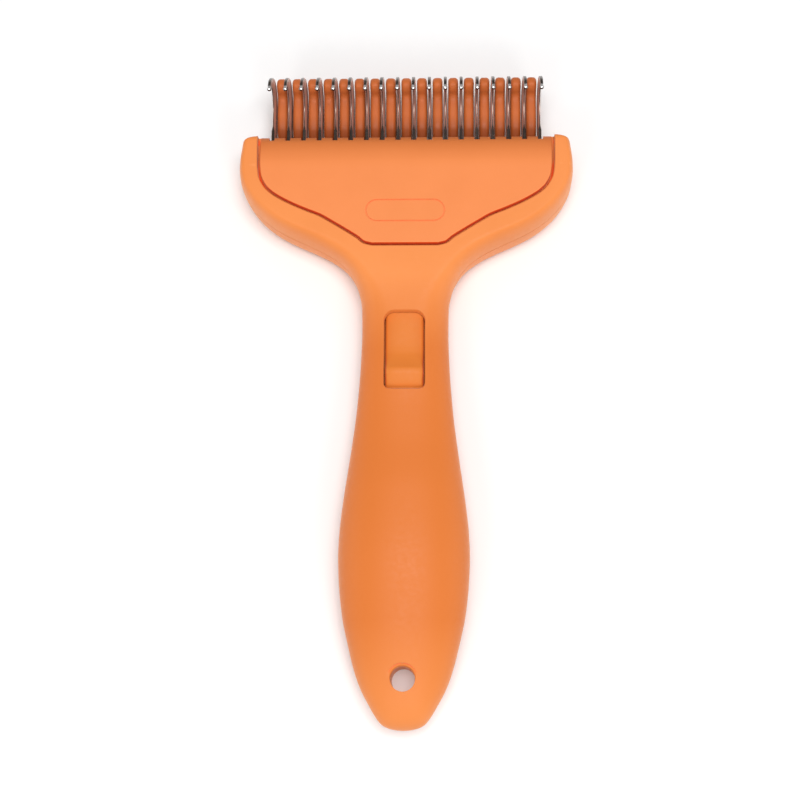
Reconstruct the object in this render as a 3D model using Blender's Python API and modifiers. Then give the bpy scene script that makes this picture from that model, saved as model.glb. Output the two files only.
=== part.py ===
"""Deshedding tool with retracting hooked blades.

Frame: the tool lies on its back. +Y runs along the handle towards the blades, +Z is the
front face and +X its right side. Lengths along the tool are measured from the handle's
end, and the whole tool hangs from one empty that brings the origin to the middle of its
base. Run with: blender --background --python part.py
"""

import math

import bmesh
import bpy
import numpy as np
from mathutils import Matrix

MM = 0.001

# Driving dimensions in millimetres.
LENGTH = 175.7
SPLIT_Z = 9.5
SPLIT_GAP = 0.3
WALL = 2.0
GAP = 0.3

OUTLINE = (
    (0, 0), (1.2, 5.1), (3.2, 6.9), (6.2, 8.7), (10, 10.75), (15, 12.6), (21, 14.15),
    (29, 15.85), (37.5, 16.75), (44, 17.0), (50, 16.75), (58, 15.9), (70, 14.2), (82, 12.7),
    (94, 11.8), (103.5, 11.5), (110, 11.6), (115, 12.5), (119, 14.2), (122.2, 16.6),
    (125.2, 20.4), (127.7, 25.0), (130.2, 30.3), (132.5, 34.5), (135, 37.9), (138, 40.9),
    (141.5, 43.3), (145, 44.8), (149, 45.3), (157.5, 44.4),
)
FRONT = ((0, SPLIT_Z), (1.4, 13.0), (5.5, 15.8), (13, 17.6), (28, 20.6), (44, 22.4),
         (60, 21.2), (75, 18.7), (85, 18.0), (157.5, 18.0))
BACK = ((0, SPLIT_Z), (1.4, 6.4), (5.5, 4.4), (13, 3.0), (28, 0.8), (42, 0.0),
        (54, 0.1), (72, 1.9), (91, 3.4), (106, 3.2), (119, 1.1), (127, 0.4),
        (138, 0.1), (148, 0.0), (151.5, 0.0), (157.5, 0.12))
EDGE = ((0, 30.0), (90, 30.0), (102, 12.0), (113, 8.6), (119, 6.6), (125, 5.2),
        (137, 3.8), (148, 2.8), (157.5, 2.4))
EDGE_POWER = 2.3
HEAD_TOP = 157.5
HEAD_CORNER = 2.0

CAVITY_START = 24.0
CAVITY_END = 155.1
HEAD_CEILING = 14.2
HEAD_CEILING_START = 125.5
MOUTH_HALF = 40.3
MOUTH_START = 148.0

PANEL = ((126.3, 9.2), (126.8, 11.2), (128.1, 12.8), (130.2, 16.0), (132.7, 20.0),
         (134.6, 23.2), (136, 26.4), (137.4, 29.6), (139, 32.8), (141.1, 36.1),
         (143, 38.0), (146, 39.4), (149.5, 39.8), (157.5, 39.9))
PANEL_FACE = ((126.3, 18.0), (148, 18.0), (152.5, 17.5), (155.5, 16.7), (157.5, 15.8))
PANEL_BACK = ((126.3, 15.9), (148, 15.9), (152.5, 15.5), (155.5, 14.9), (157.5, 14.5))
PANEL_SEAT = 15.6
PANEL_LEDGE = 1.5
SEAM = 0.55
LABEL_LENGTH = 21.3
LABEL_HEIGHT = 6.3
LABEL_Y = 135.4
LABEL_GROOVE = 0.35
LABEL_DEPTH = 0.25

BLADES = 18
BLADE_PITCH = 4.285
BLADE_THICK = 0.8
BLADE_STEM = (6.2, 13.8)
BLADE_FOOT = 139.7
BLADE_HOOK = ((157.5, 13.8), (163, 13.8), (166.5, 14.2), (169.3, 15.9), (170.4, 18.6),
              (169.9, 21.4), (168.3, 23.4))
BLADE_TIP = ((167.2, 24.0), (167.3, 24.8), (168.2, 24.9))
BLADE_BACK = ((170.6, 23.3), (172.9, 19.9), (174.3, 15.8), (174.2, 12.0), (172.6, 8.9),
              (169.6, 7.1), (165, 6.3), (157.5, 6.2))
SLOT_HALF = 0.75

FINGER_WIDTH = 2.75
FINGER = ((157.0, 9.2), (159.0, 9.4), (160.8, 9.9), (162.8, 10.8), (166.5, 11.2),
          (169.6, 11.5), (171.0, 12.3), (171.7, 13.9), (172.7, 15.0), (174.0, 15.0),
          (175.2, 14.2), (175.7, 12.6), (175.5, 9.6), (174.2, 6.8), (171.2, 4.8),
          (166, 3.8), (158, 3.4))
COMB_HALF = 38.9
COMB_BAR = (155.4, 157.5)
COMB_Z = (2.4, 13.9)
COMB_EAR = ((37.9, 150.1, 4.0), (41.6, 154.7, 12.0))
COMB_LEG = ((37.9, 154.1, 4.0), (38.9, 155.9, 12.0))

HOLDER_HALF = 37.6
HOLDER_Y = (138.8, 146.9)
HOLDER_Z = (3.8, 13.3)
STEM_HALF = 4.5
STEM_END = 78.0
STEM_Z = (6.6, 10.4)
RODS = {"blade_rod_lower": (142.1, 8.4), "blade_rod_upper": (144.5, 11.6)}
ROD_RADIUS = 0.8

TRAVEL = 8.0
WINDOW = (86.8, 107.4)
WINDOW_HALF = 5.35
WINDOW_TOP_CORNER = 2.6
WINDOW_FOOT_CORNER = 1.4
LIP = 1.2
SLIDER_Y = (78.4, 113.4)
SLIDER_HALF = 4.85
SLIDER_RIDGE = ((87.3, 0.25), (88.1, 1.1), (90.1, 2.4), (92.0, 2.9), (93.4, 2.4),
                (95.2, 1.2), (97.0, 0.4), (98.8, 0.0))
WING_Y = (80.9, 110.9)
WING_HALF = 7.4
WING_Z = (11.9, 13.3)
LEGS = (84.4, 107.4)
LEG_SIZE = (4.4, 4.0)
LEG_END = 7.8
SPRING_Y = 96.9
SPRING_RADIUS = 2.2
SPRING_WIRE = 0.25
SPRING_Z = (7.9, 13.1)
SPRING_TURNS = 5

HOLE_Y = 12.5
HOLE_RADIUS = 3.1
HOLE_FLARE = 0.75

SCREWS = ((-26.0, 133.9), (26.0, 133.9), (0.0, 71.0), (0.0, 31.0))
SCREW_SEAT = 2.7
SCREW_HEAD = (2.3, 1.6)
SCREW_SHANK = 1.05
SCREW_END = 14.4
BOSS_RADIUS = 3.3

ORANGE = (1.0, 0.27, 0.07, 1.0)
COVER_ORANGE = (1.0, 0.29, 0.08, 1.0)
COMB_ORANGE = (0.9, 0.2, 0.045, 1.0)
STEEL = (0.42, 0.38, 0.36, 1.0)
ZINC = (0.55, 0.56, 0.58, 1.0)
INNER_PLASTIC = (0.75, 0.74, 0.7, 1.0)


def clear_scene():
    for thing in list(bpy.data.objects):
        bpy.data.objects.remove(thing, do_unlink=True)


def new_collection(name):
    group = bpy.data.collections.new(name)
    bpy.context.scene.collection.children.link(group)
    return group


def material(name, colour, roughness, metallic=0.0):
    made = bpy.data.materials.new(name)
    made.use_nodes = True
    shader = made.node_tree.nodes["Principled BSDF"]
    shader.inputs["Base Color"].default_value = colour
    shader.inputs["Roughness"].default_value = roughness
    shader.inputs["Metallic"].default_value = metallic
    return made


def curve(points, value):
    """Reads a smooth curve through the points that never overshoots them."""
    x = np.array([p[0] for p in points], float)
    y = np.array([p[1] for p in points], float)
    slope = np.diff(y) / np.diff(x)
    tangent = np.zeros(len(x))
    for i in range(1, len(x) - 1):
        if slope[i - 1] * slope[i] > 0:
            tangent[i] = 2 * slope[i - 1] * slope[i] / (slope[i - 1] + slope[i])
    tangent[0] = slope[0]
    tangent[-1] = slope[-1]
    value = np.clip(value, x[0], x[-1])
    k = np.clip(np.searchsorted(x, value, side="right") - 1, 0, len(x) - 2)
    step = x[k + 1] - x[k]
    t = (value - x[k]) / step
    return (
        y[k] * (1 + 2 * t) * (1 - t) ** 2
        + tangent[k] * step * t * (1 - t) ** 2
        + y[k + 1] * t * t * (3 - 2 * t)
        + tangent[k + 1] * step * t * t * (t - 1)
    )


def rounded(points):
    """The same points over the root of their distance, for an end that is round."""
    return tuple((math.sqrt(p[0]), p[1]) for p in points)


def outer_half(y):
    half = curve(rounded(OUTLINE), np.sqrt(y))
    past = np.clip(y - (HEAD_TOP - HEAD_CORNER), 0, HEAD_CORNER)
    return half - (HEAD_CORNER - np.sqrt(HEAD_CORNER**2 - past**2))


def face_height(points, y):
    return curve(rounded(points), np.sqrt(y))


def offset_outline(half, start, end, grow):
    """Half width, over y, of an outline moved outwards by grow."""
    y = np.linspace(start, end, 400)
    x = np.array([half(v) for v in y])
    dx = np.gradient(x, y)
    size = np.sqrt(1 + dx**2)
    moved_x = x + grow / size
    moved_y = y - grow * dx / size
    return lambda v: float(np.interp(v, moved_y, moved_x))


def edge_factor(x, y, half, radius):
    """How high the surface stands at x, from 0 at its edge to 1 on its flat part."""
    lean = 1.0
    if y > 96:
        rise = (outer_half(min(y + 0.2, HEAD_TOP - HEAD_CORNER)) - outer_half(y - 0.2)) / 0.4
        lean = 1 / math.sqrt(1 + rise**2)
    depth = min(max((half - abs(x)) * lean / radius, 0.0), 1.0)
    return (1 - (1 - depth) ** EDGE_POWER) ** (1 / EDGE_POWER)


def shell_surface(points, inset=0.0, ceiling=None):
    """Height, over x and y, of the tool's face or back, or of the cavity under it."""
    inner_half = offset_outline(outer_half, 0.5, HEAD_TOP, -inset) if inset else outer_half

    def height(x, y):
        half = inner_half(y)
        radius = max(min(curve(EDGE, y), outer_half(y)) - inset, 1.0)
        top = face_height(points, y)
        side = 1 if top >= SPLIT_Z else -1
        rise = abs(top - SPLIT_Z) - inset
        if not inset:
            past = max(y - (HEAD_TOP - 1.2), 0)
            rise -= 1.2 - math.sqrt(1.2**2 - past**2)
        if ceiling and y > HEAD_CEILING_START:
            rise = min(rise, ceiling - SPLIT_Z)
        return SPLIT_Z + side * rise * edge_factor(x, y, half, radius)

    return inner_half, height


def shell_columns(y, half, inset=0.0, edge_steps=5, flat_steps=2):
    """Places across the tool, closer together on the rounded edges."""
    radius = max(min(curve(EDGE, y), outer_half(y)) - inset, 1.0)
    reach = min(radius, 0.8 * half)
    edge = [half - reach * (1 - math.cos(k * math.pi / 2 / edge_steps)) for k in range(edge_steps)]
    flat = [(half - reach) * (1 - k / flat_steps) for k in range(flat_steps)]
    side = edge + flat
    return side + [0.0] + [-x for x in reversed(side)]


def shell_rows(start, end):
    """Places along the tool: close at the round end, the shoulder and the head's top."""
    rows = [12 * (1 - math.cos(k * math.pi / 12)) for k in range(6)]
    rows += list(np.linspace(12, 110, 12)[:-1])
    rows += list(np.linspace(110, 144, 16))
    rows += [148] + [HEAD_TOP - s for s in (6, 2.8, 1.4, 0.6, 0.15)]
    inside = [y for y in rows if start + 0.5 < y < end - 0.1]
    return [start] + inside + [end]


def finish_mesh(bm, name):
    bmesh.ops.remove_doubles(bm, verts=bm.verts, dist=1e-6)
    bmesh.ops.dissolve_degenerate(bm, edges=bm.edges, dist=1e-7)
    bmesh.ops.recalc_face_normals(bm, faces=bm.faces)
    mesh = bpy.data.meshes.new(name)
    bm.to_mesh(mesh)
    bm.free()
    return mesh


def loft(name, rows, columns, top, bottom):
    """A closed solid: rows of points at the top, and a level line under each row."""
    bm = bmesh.new()
    upper = []
    lower = []
    for y in rows:
        places = columns(y)
        upper.append([bm.verts.new((x * MM, y * MM, top(x, y) * MM)) for x in places])
        ends = (places[0], places[-1])
        lower.append([bm.verts.new((x * MM, y * MM, bottom(y) * MM)) for x in ends])
    for i in range(len(rows) - 1):
        for j in range(len(upper[i]) - 1):
            bm.faces.new((upper[i][j], upper[i][j + 1], upper[i + 1][j + 1], upper[i + 1][j]))
        bm.faces.new((lower[i][0], lower[i][1], lower[i + 1][1], lower[i + 1][0]))
        for end, j in ((0, 0), (1, -1)):
            bm.faces.new((upper[i][j], upper[i + 1][j], lower[i + 1][end], lower[i][end]))
    for i in (0, -1):
        bm.faces.new(upper[i] + list(reversed(lower[i])))
    return finish_mesh(bm, name)


def plate_columns(half):
    return lambda y: (half(y), -half(y))


def box_mesh(name, low, high):
    bm = bmesh.new()
    size = [(b - a) * MM for a, b in zip(low, high)]
    centre = [(a + b) / 2 * MM for a, b in zip(low, high)]
    bmesh.ops.create_cube(bm, size=1.0, matrix=Matrix.Translation(centre) @ Matrix.Diagonal((*size, 1)))
    return finish_mesh(bm, name)


def cylinder_mesh(name, radius, start, end, axis="Z", segments=20):
    """A cylinder from start to end, both points on its axis."""
    bm = bmesh.new()
    length = math.dist(start, end) * MM
    turn = Matrix.Rotation(math.pi / 2, 4, "Y") if axis == "X" else Matrix.Identity(4)
    middle = [(a + b) / 2 * MM for a, b in zip(start, end)]
    bmesh.ops.create_cone(bm, cap_ends=True, segments=segments, radius1=radius * MM,
                          radius2=radius * MM, depth=length, matrix=Matrix.Translation(middle) @ turn)
    return finish_mesh(bm, name)


def prism_mesh(name, outline, low, high):
    """A flat outline in x and y, carried up from low to high."""
    bm = bmesh.new()
    foot = bm.faces.new([bm.verts.new((x * MM, y * MM, low * MM)) for x, y in outline])
    raised = bmesh.ops.extrude_face_region(bm, geom=[foot])
    corners = [v for v in raised["geom"] if isinstance(v, bmesh.types.BMVert)]
    bmesh.ops.translate(bm, vec=(0, 0, (high - low) * MM), verts=corners)
    return finish_mesh(bm, name)


def profile_mesh(name, profile):
    """A line of radius and height, from the top down, for a Screw modifier to turn."""
    mesh = bpy.data.meshes.new(name)
    points = [(r * MM, 0, z * MM) for r, z in profile]
    mesh.from_pydata(points, [(k, k + 1) for k in range(len(points) - 1)], [])
    return mesh


def turn(target, segments):
    step = target.modifiers.new("turn", "SCREW")
    step.steps = segments
    step.render_steps = segments
    step.use_merge_vertices = True
    step.merge_threshold = 0.00001


def join_meshes(name, meshes):
    bm = bmesh.new()
    for mesh in meshes:
        bm.from_mesh(mesh)
        bpy.data.meshes.remove(mesh)
    made = bpy.data.meshes.new(name)
    bm.to_mesh(made)
    bm.free()
    return made


def side_plate_mesh(name, outline, holes, thickness):
    """A flat plate in the YZ plane, centred on x = 0, from an outline and round holes."""
    drawing = bpy.data.curves.new(name, "CURVE")
    drawing.dimensions = "2D"
    drawing.fill_mode = "BOTH"
    drawing.extrude = thickness / 2 * MM
    circles = [
        [(y + r * math.cos(a), z + r * math.sin(a)) for a in np.linspace(0, 2 * math.pi, 9)[:-1]]
        for y, z, r in holes
    ]
    for loop in [outline] + circles:
        spline = drawing.splines.new("POLY")
        spline.points.add(len(loop) - 1)
        for point, (y, z) in zip(spline.points, loop):
            point.co = (y * MM, z * MM, 0, 1)
        spline.use_cyclic_u = True
    guide = bpy.data.objects.new(name + "_drawing", drawing)
    bpy.context.scene.collection.objects.link(guide)
    seen = guide.evaluated_get(bpy.context.evaluated_depsgraph_get())
    mesh = bpy.data.meshes.new_from_object(seen)
    bpy.data.objects.remove(guide, do_unlink=True)
    bm = bmesh.new()
    bm.from_mesh(mesh)
    bpy.data.meshes.remove(mesh)
    upright = Matrix(((0, 0, 1, 0), (1, 0, 0, 0), (0, 1, 0, 0), (0, 0, 0, 1)))
    bmesh.ops.transform(bm, matrix=upright, verts=bm.verts)
    return finish_mesh(bm, name)


def smooth_line(points, steps):
    """Points along a smooth line through the given ones."""
    p = [np.array(q, float) for q in points]
    p = [2 * p[0] - p[1]] + p + [2 * p[-1] - p[-2]]
    line = []
    for i in range(1, len(p) - 2):
        for k in range(steps):
            t = k / steps
            line.append(tuple(0.5 * (
                2 * p[i] + (p[i + 1] - p[i - 1]) * t
                + (2 * p[i - 1] - 5 * p[i] + 4 * p[i + 1] - p[i + 2]) * t**2
                + (3 * p[i] - p[i - 1] - 3 * p[i + 1] + p[i + 2]) * t**3
            )))
    line.append(tuple(p[-2]))
    return line


class Builder:
    """Places meshes in the tool's frame, and keeps parts and cutters apart."""

    def __init__(self):
        self.parts = new_collection("deshedding_tool")
        self.cutters = new_collection("deshedding_tool_cutters")
        self.origin = bpy.data.objects.new("tool_origin", None)
        self.origin.location = (0, -LENGTH / 2 * MM, 0)
        self.parts.objects.link(self.origin)

    def part(self, name, mesh, paint, location=(0, 0, 0), smooth=True):
        made = bpy.data.objects.new(name, mesh)
        made.location = [v * MM for v in location]
        made.parent = self.origin
        self.parts.objects.link(made)
        if not mesh.materials:
            mesh.materials.append(paint)
        if smooth:
            mesh.shade_smooth()
            mesh.set_sharp_from_angle(angle=math.radians(35))
        return made

    def cutter(self, name, mesh):
        made = bpy.data.objects.new(name, mesh)
        made.parent = self.origin
        made.display_type = "WIRE"
        made.hide_render = True
        self.cutters.objects.link(made)
        return made

    def combine(self, target, tool, operation):
        step = target.modifiers.new(tool.name, "BOOLEAN")
        step.object = tool
        step.operation = operation
        step.solver = "EXACT"


def shell_solid(name, points, side):
    half, height = shell_surface(points)
    seam = SPLIT_Z + side * SPLIT_GAP / 2
    level = max if side > 0 else min
    return loft(name, shell_rows(0, HEAD_TOP), lambda y: shell_columns(y, half(y)),
                lambda x, y: level(height(x, y), seam), lambda y: seam)


def cavity_solid(name, points, side, ceiling=None):
    half, height = shell_surface(points, WALL, ceiling)
    base = SPLIT_Z - side * 2.0
    return loft(name, shell_rows(CAVITY_START, CAVITY_END),
                lambda y: shell_columns(y, half(y), WALL, 3, 1), height, lambda y: base)


def panel_half(grow):
    half = offset_outline(lambda y: float(curve(PANEL, y)), PANEL[0][0], HEAD_TOP, grow)
    start = PANEL[0][0] - grow
    rows = [start + s for s in (0, 0.25, 0.6, 1.2, 2.2, 4, 6.5, 9, 11, 13, 15, 17, 20, 23)]
    return half, rows


def panel_cutter(name, grow, low):
    half, rows = panel_half(grow)
    return loft(name, rows + [HEAD_TOP + 1], plate_columns(half), lambda x, y: 20.0, lambda y: low)


def blade_places():
    middle = (BLADES - 1) / 2
    return [(i - middle) * BLADE_PITCH for i in range(BLADES)]


def finger_places():
    x = blade_places()
    return [(a + b) / 2 for a, b in zip(x, x[1:])]


def blade_slots(name, low, high):
    """One narrow box for each blade to slide in."""
    return join_meshes(name, [
        box_mesh(name, (x - SLOT_HALF, low[0], low[1]), (x + SLOT_HALF, high[0], high[1]))
        for x in blade_places()
    ])


def window_mesh(name):
    """The slot for the thumb: a rectangle with larger corners at its top end."""
    def half(y):
        low = max(WINDOW[0] + WINDOW_FOOT_CORNER - y, 0) / WINDOW_FOOT_CORNER
        high = max(y - WINDOW[1] + WINDOW_TOP_CORNER, 0) / WINDOW_TOP_CORNER
        return (WINDOW_HALF - WINDOW_FOOT_CORNER * (1 - math.sqrt(1 - min(low, 1) ** 2))
                - WINDOW_TOP_CORNER * (1 - math.sqrt(1 - min(high, 1) ** 2)))
    turns = [math.sin(k * math.pi / 8) for k in range(5)]
    rows = [WINDOW[0] + WINDOW_FOOT_CORNER * (1 - t) for t in reversed(turns)]
    rows += [WINDOW[1] - WINDOW_TOP_CORNER * (1 - t) for t in turns]
    return loft(name, rows, plate_columns(half), lambda x, y: 22.0, lambda y: SPLIT_Z + 2)


def neck_arch(x, below):
    """Height across the neck at its narrowest, a set distance under the outer face."""
    half = min(p[1] for p in OUTLINE if p[0] > 60)
    top = FRONT[-1][1]
    return SPLIT_Z + (top - SPLIT_Z) * (1 - (abs(x) / half) ** EDGE_POWER) ** (1 / EDGE_POWER) - below


def hole_profile():
    """The hanging hole, flared where it meets the front and the back."""
    front = face_height(FRONT, HOLE_Y)
    back = face_height(BACK, HOLE_Y)
    wide = HOLE_RADIUS + HOLE_FLARE
    middle = HOLE_RADIUS + 0.3 * HOLE_FLARE
    return ((0, front + 2), (wide, front + 2), (wide, front + 0.1), (middle, front - 0.25),
            (HOLE_RADIUS, front - HOLE_FLARE), (HOLE_RADIUS, back + HOLE_FLARE),
            (middle, back + 0.25), (wide, back - 0.1), (wide, back - 2), (0, back - 2))


def make_front_shell(build, paint):
    shell = build.part("front_shell", shell_solid("front_shell", FRONT, 1), paint)
    cavity = build.cutter("front_cavity", cavity_solid("front_cavity", FRONT, 1, HEAD_CEILING))
    posts = build.cutter("front_bosses", join_meshes("front_bosses", [
        cylinder_mesh("boss", BOSS_RADIUS, (x, y, SPLIT_Z + SPLIT_GAP / 2), (x, y, front_under(y)))
        for x, y in SCREWS
    ]))
    bore = SCREW_SHANK + GAP
    pilots = build.cutter("front_pilots", join_meshes("front_pilots", [
        cylinder_mesh("pilot", bore, (x, y, SPLIT_Z - 1), (x, y, SCREW_END + 0.4), segments=12)
        for x, y in SCREWS
    ]))
    channel = build.cutter("slider_channel", channel_mesh("slider_channel"))
    mouth = build.cutter("front_mouth", box_mesh("front_mouth", (-MOUTH_HALF, MOUTH_START, 5),
                                                 (MOUTH_HALF, HEAD_TOP + 2, 20)))
    seat = build.cutter("panel_seat", panel_cutter("panel_seat", SEAM, PANEL_SEAT))
    opening = build.cutter("panel_window", panel_cutter("panel_window", -PANEL_LEDGE, 5))
    hole = build.cutter("hanging_hole", profile_mesh("hanging_hole", hole_profile()))
    hole.location = (0, HOLE_Y * MM, 0)
    turn(hole, 24)
    window = build.cutter("slider_window", window_mesh("slider_window"))
    build.combine(shell, cavity, "DIFFERENCE")
    build.combine(shell, posts, "UNION")
    for tool in (pilots, mouth, seat, opening, hole, channel, window):
        build.combine(shell, tool, "DIFFERENCE")


def front_under(y):
    """A height inside the front wall, for a boss to end in."""
    ceiling = face_height(FRONT, y) - WALL
    if y > HEAD_CEILING_START:
        ceiling = min(ceiling, HEAD_CEILING)
    return ceiling + 0.8


def channel_mesh(name):
    """The groove under the neck's face that the thumb slider runs in."""
    half = SLIDER_HALF + 0.75
    rows = [SLIDER_Y[0] - 1, SLIDER_Y[1] + TRAVEL + 1]
    places = [half * (1 - k / 4) for k in range(9)]
    return loft(name, rows, lambda y: places, lambda x, y: neck_arch(x, LIP), lambda y: SPLIT_Z + 1)


def make_rear_shell(build, paint):
    shell = build.part("rear_shell", shell_solid("rear_shell", BACK, -1), paint)
    cavity = build.cutter("rear_cavity", cavity_solid("rear_cavity", BACK, -1))
    top = SPLIT_Z - SPLIT_GAP / 2
    posts = []
    for x, y in SCREWS:
        foot = (x, y, face_height(BACK, y) + 1)
        posts.append(cylinder_mesh("boss", BOSS_RADIUS + 0.4, foot, (x, y, top)))
    mouth = build.cutter("rear_mouth", box_mesh("rear_mouth", (-MOUTH_HALF, MOUTH_START, WALL + 0.1),
                                                (MOUTH_HALF, HEAD_TOP + 2, 14)))
    build.combine(shell, cavity, "DIFFERENCE")
    build.combine(shell, build.cutter("rear_bosses", join_meshes("rear_bosses", posts)), "UNION")
    for i, (x, y) in enumerate(SCREWS):
        back = face_height(BACK, y)
        wide = SCREW_HEAD[0] + GAP
        narrow = SCREW_SHANK + GAP
        seat = back + SCREW_SEAT
        profile = ((0, top + 1), (narrow, top + 1), (narrow, seat), (wide, seat),
                   (wide, back - 2), (0, back - 2))
        bore = build.cutter(f"screw_bore_{i + 1}", profile_mesh("screw_bore", profile))
        bore.location = (x * MM, y * MM, 0)
        turn(bore, 20)
        build.combine(shell, bore, "DIFFERENCE")
    build.combine(shell, mouth, "DIFFERENCE")
    build.combine(shell, bpy.data.objects["hanging_hole"], "DIFFERENCE")


def label_groove(build):
    """A shallow pill-shaped groove: a blank place for a label."""
    def pill(grow, low):
        radius = LABEL_HEIGHT / 2 + grow
        reach = LABEL_LENGTH / 2 - LABEL_HEIGHT / 2
        turns = [math.sin(k * math.pi / 12) for k in range(-6, 7)]
        rows = [LABEL_Y + radius * t for t in turns]

        def half(y):
            return reach + math.sqrt(max(radius**2 - (y - LABEL_Y) ** 2, 0))
        return loft("pill", rows, plate_columns(half), lambda x, y: 20.0, lambda y: low)
    floor = FRONT[-1][1] - LABEL_DEPTH
    ring = build.cutter("label_groove", pill(0, floor))
    core = build.cutter("label_core", pill(-LABEL_GROOVE, floor - 0.5))
    build.combine(ring, core, "DIFFERENCE")
    return ring


def make_head_cover(build, paint):
    half, rows = panel_half(0.0)
    rows = rows + [150.5, 152.5, 154.5, 156.2, HEAD_TOP]
    mesh = loft("head_cover", rows, plate_columns(half),
                lambda x, y: curve(PANEL_FACE, y), lambda y: curve(PANEL_BACK, y))
    cover = build.part("head_cover", mesh, paint)
    notches = blade_slots("cover_notches", (HEAD_TOP - 1.3, 10), (HEAD_TOP + 2, 20))
    build.combine(cover, build.cutter("cover_notches", notches), "DIFFERENCE")
    build.combine(cover, label_groove(build), "DIFFERENCE")


def make_guard_comb(build, paint):
    bar = box_mesh("guard_comb", (-COMB_HALF, COMB_BAR[0], COMB_Z[0]), (COMB_HALF, COMB_BAR[1], COMB_Z[1]))
    comb = build.part("guard_comb", bar, paint)
    for name, (low, high) in (("comb_leg", COMB_LEG), ("comb_ear", COMB_EAR)):
        for side, flip in (("left", -1), ("right", 1)):
            x = sorted((flip * low[0], flip * high[0]))
            corner = box_mesh(name, (x[0], *low[1:]), (x[1], *high[1:]))
            build.combine(comb, build.cutter(f"{name}_{side}", corner), "UNION")
    slots = blade_slots("comb_slots", (COMB_BAR[0] - 1, BLADE_STEM[0] - 0.5), (COMB_BAR[1] + 1, 20))
    build.combine(comb, build.cutter("comb_slots", slots), "DIFFERENCE")
    root = COMB_BAR[0] + 0.5
    outline = [(root, FINGER[0][1])] + smooth_line(FINGER, 2) + [(root, FINGER[-1][1])]
    one = side_plate_mesh("finger", outline, (), FINGER_WIDTH)
    fingers = []
    for x in finger_places():
        copy = one.copy()
        copy.transform(Matrix.Translation((x * MM, 0, 0)))
        fingers.append(copy)
    build.combine(comb, build.cutter("fingers", join_meshes("fingers", fingers)), "UNION")


def blade_outline():
    hook = smooth_line(BLADE_HOOK, 2)
    back = smooth_line(BLADE_TIP[-1:] + BLADE_BACK, 2)
    foot = [(BLADE_FOOT, BLADE_STEM[0]), (BLADE_FOOT, BLADE_STEM[1])]
    return foot + hook + list(BLADE_TIP[:-1]) + back


def make_blades(build, paint):
    holes = [(y, z, ROD_RADIUS + GAP) for y, z in RODS.values()]
    mesh = side_plate_mesh("blade", blade_outline(), holes, BLADE_THICK)
    for i, x in enumerate(blade_places()):
        build.part(f"blade_{i + 1:02d}", mesh, paint, (x, 0, 0), smooth=False)


def make_rods(build, paint):
    for name, (y, z) in RODS.items():
        reach = HOLDER_HALF - 0.4
        build.part(name, cylinder_mesh(name, ROD_RADIUS, (-reach, y, z), (reach, y, z), "X", 12), paint)


def make_carriage(build, paint):
    block = box_mesh("blade_carriage", (-HOLDER_HALF, HOLDER_Y[0], HOLDER_Z[0]),
                     (HOLDER_HALF, HOLDER_Y[1], HOLDER_Z[1]))
    carriage = build.part("blade_carriage", block, paint)
    stem = box_mesh("stem", (-STEM_HALF, STEM_END, STEM_Z[0]), (STEM_HALF, HOLDER_Y[0] + 1.0, STEM_Z[1]))
    build.combine(carriage, build.cutter("carriage_stem", stem), "UNION")
    slots = blade_slots("carriage_slots", (BLADE_FOOT - GAP, BLADE_STEM[0] - GAP), (HOLDER_Y[1] + 1, 20))
    build.combine(carriage, build.cutter("carriage_slots", slots), "DIFFERENCE")
    reach = HOLDER_HALF + 1
    bores = [cylinder_mesh("bore", ROD_RADIUS + GAP, (-reach, y, z), (reach, y, z), "X", 10)
             for y, z in RODS.values()]
    build.combine(carriage, build.cutter("rod_bores", join_meshes("rod_bores", bores)), "DIFFERENCE")
    sockets = [box_mesh("socket", (-LEG_SIZE[0] / 2 - GAP, y - LEG_SIZE[1] / 2 - GAP, STEM_Z[0] - 1),
                        (LEG_SIZE[0] / 2 + GAP, y + LEG_SIZE[1] / 2 + GAP, STEM_Z[1] + 1)) for y in LEGS]
    sockets.append(cylinder_mesh("pocket", SPRING_RADIUS + 0.8, (0, SPRING_Y, SPRING_Z[0] - GAP),
                                 (0, SPRING_Y, STEM_Z[1] + 1)))
    holes = build.cutter("stem_sockets", join_meshes("stem_sockets", sockets))
    build.combine(carriage, holes, "DIFFERENCE")


def slider_height(x, y):
    """The slider's face: level with the channel, with a ridge for the thumb."""
    rise = 0.0
    if SLIDER_RIDGE[0][0] <= y <= SLIDER_RIDGE[-1][0]:
        rise = float(curve(SLIDER_RIDGE, y))
    edge = min((SLIDER_HALF - abs(x)) / 0.5, 1.0)
    return neck_arch(x, LIP + GAP + 0.05) + rise - 0.25 * (1 - edge) ** 2


def make_thumb_slider(build, paint):
    ridge = [y for y, _ in smooth_line(SLIDER_RIDGE, 2)]
    rows = [SLIDER_Y[0], 82.5, 86.5] + ridge + [103, 108, SLIDER_Y[1]]
    half = SLIDER_HALF
    places = [half, half - 0.25, half - 0.6, 2.6, 0.0, -2.6, -half + 0.6, -half + 0.25, -half]
    mesh = loft("thumb_slider", rows, lambda y: places, slider_height, lambda y: WING_Z[0] + 0.6)
    slider = build.part("thumb_slider", mesh, paint)
    wings = box_mesh("wings", (-WING_HALF, WING_Y[0], WING_Z[0]), (WING_HALF, WING_Y[1], WING_Z[1]))
    build.combine(slider, build.cutter("slider_wings", wings), "UNION")
    legs = [box_mesh("leg", (-LEG_SIZE[0] / 2, y - LEG_SIZE[1] / 2, LEG_END),
                     (LEG_SIZE[0] / 2, y + LEG_SIZE[1] / 2, WING_Z[0] + 0.5)) for y in LEGS]
    build.combine(slider, build.cutter("slider_legs", join_meshes("slider_legs", legs)), "UNION")
    pocket = cylinder_mesh("slider_pocket", SPRING_RADIUS + 0.8, (0, SPRING_Y, WING_Z[0] - 1),
                           (0, SPRING_Y, SPRING_Z[1] + GAP))
    build.combine(slider, build.cutter("slider_pocket", pocket), "DIFFERENCE")


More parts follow.
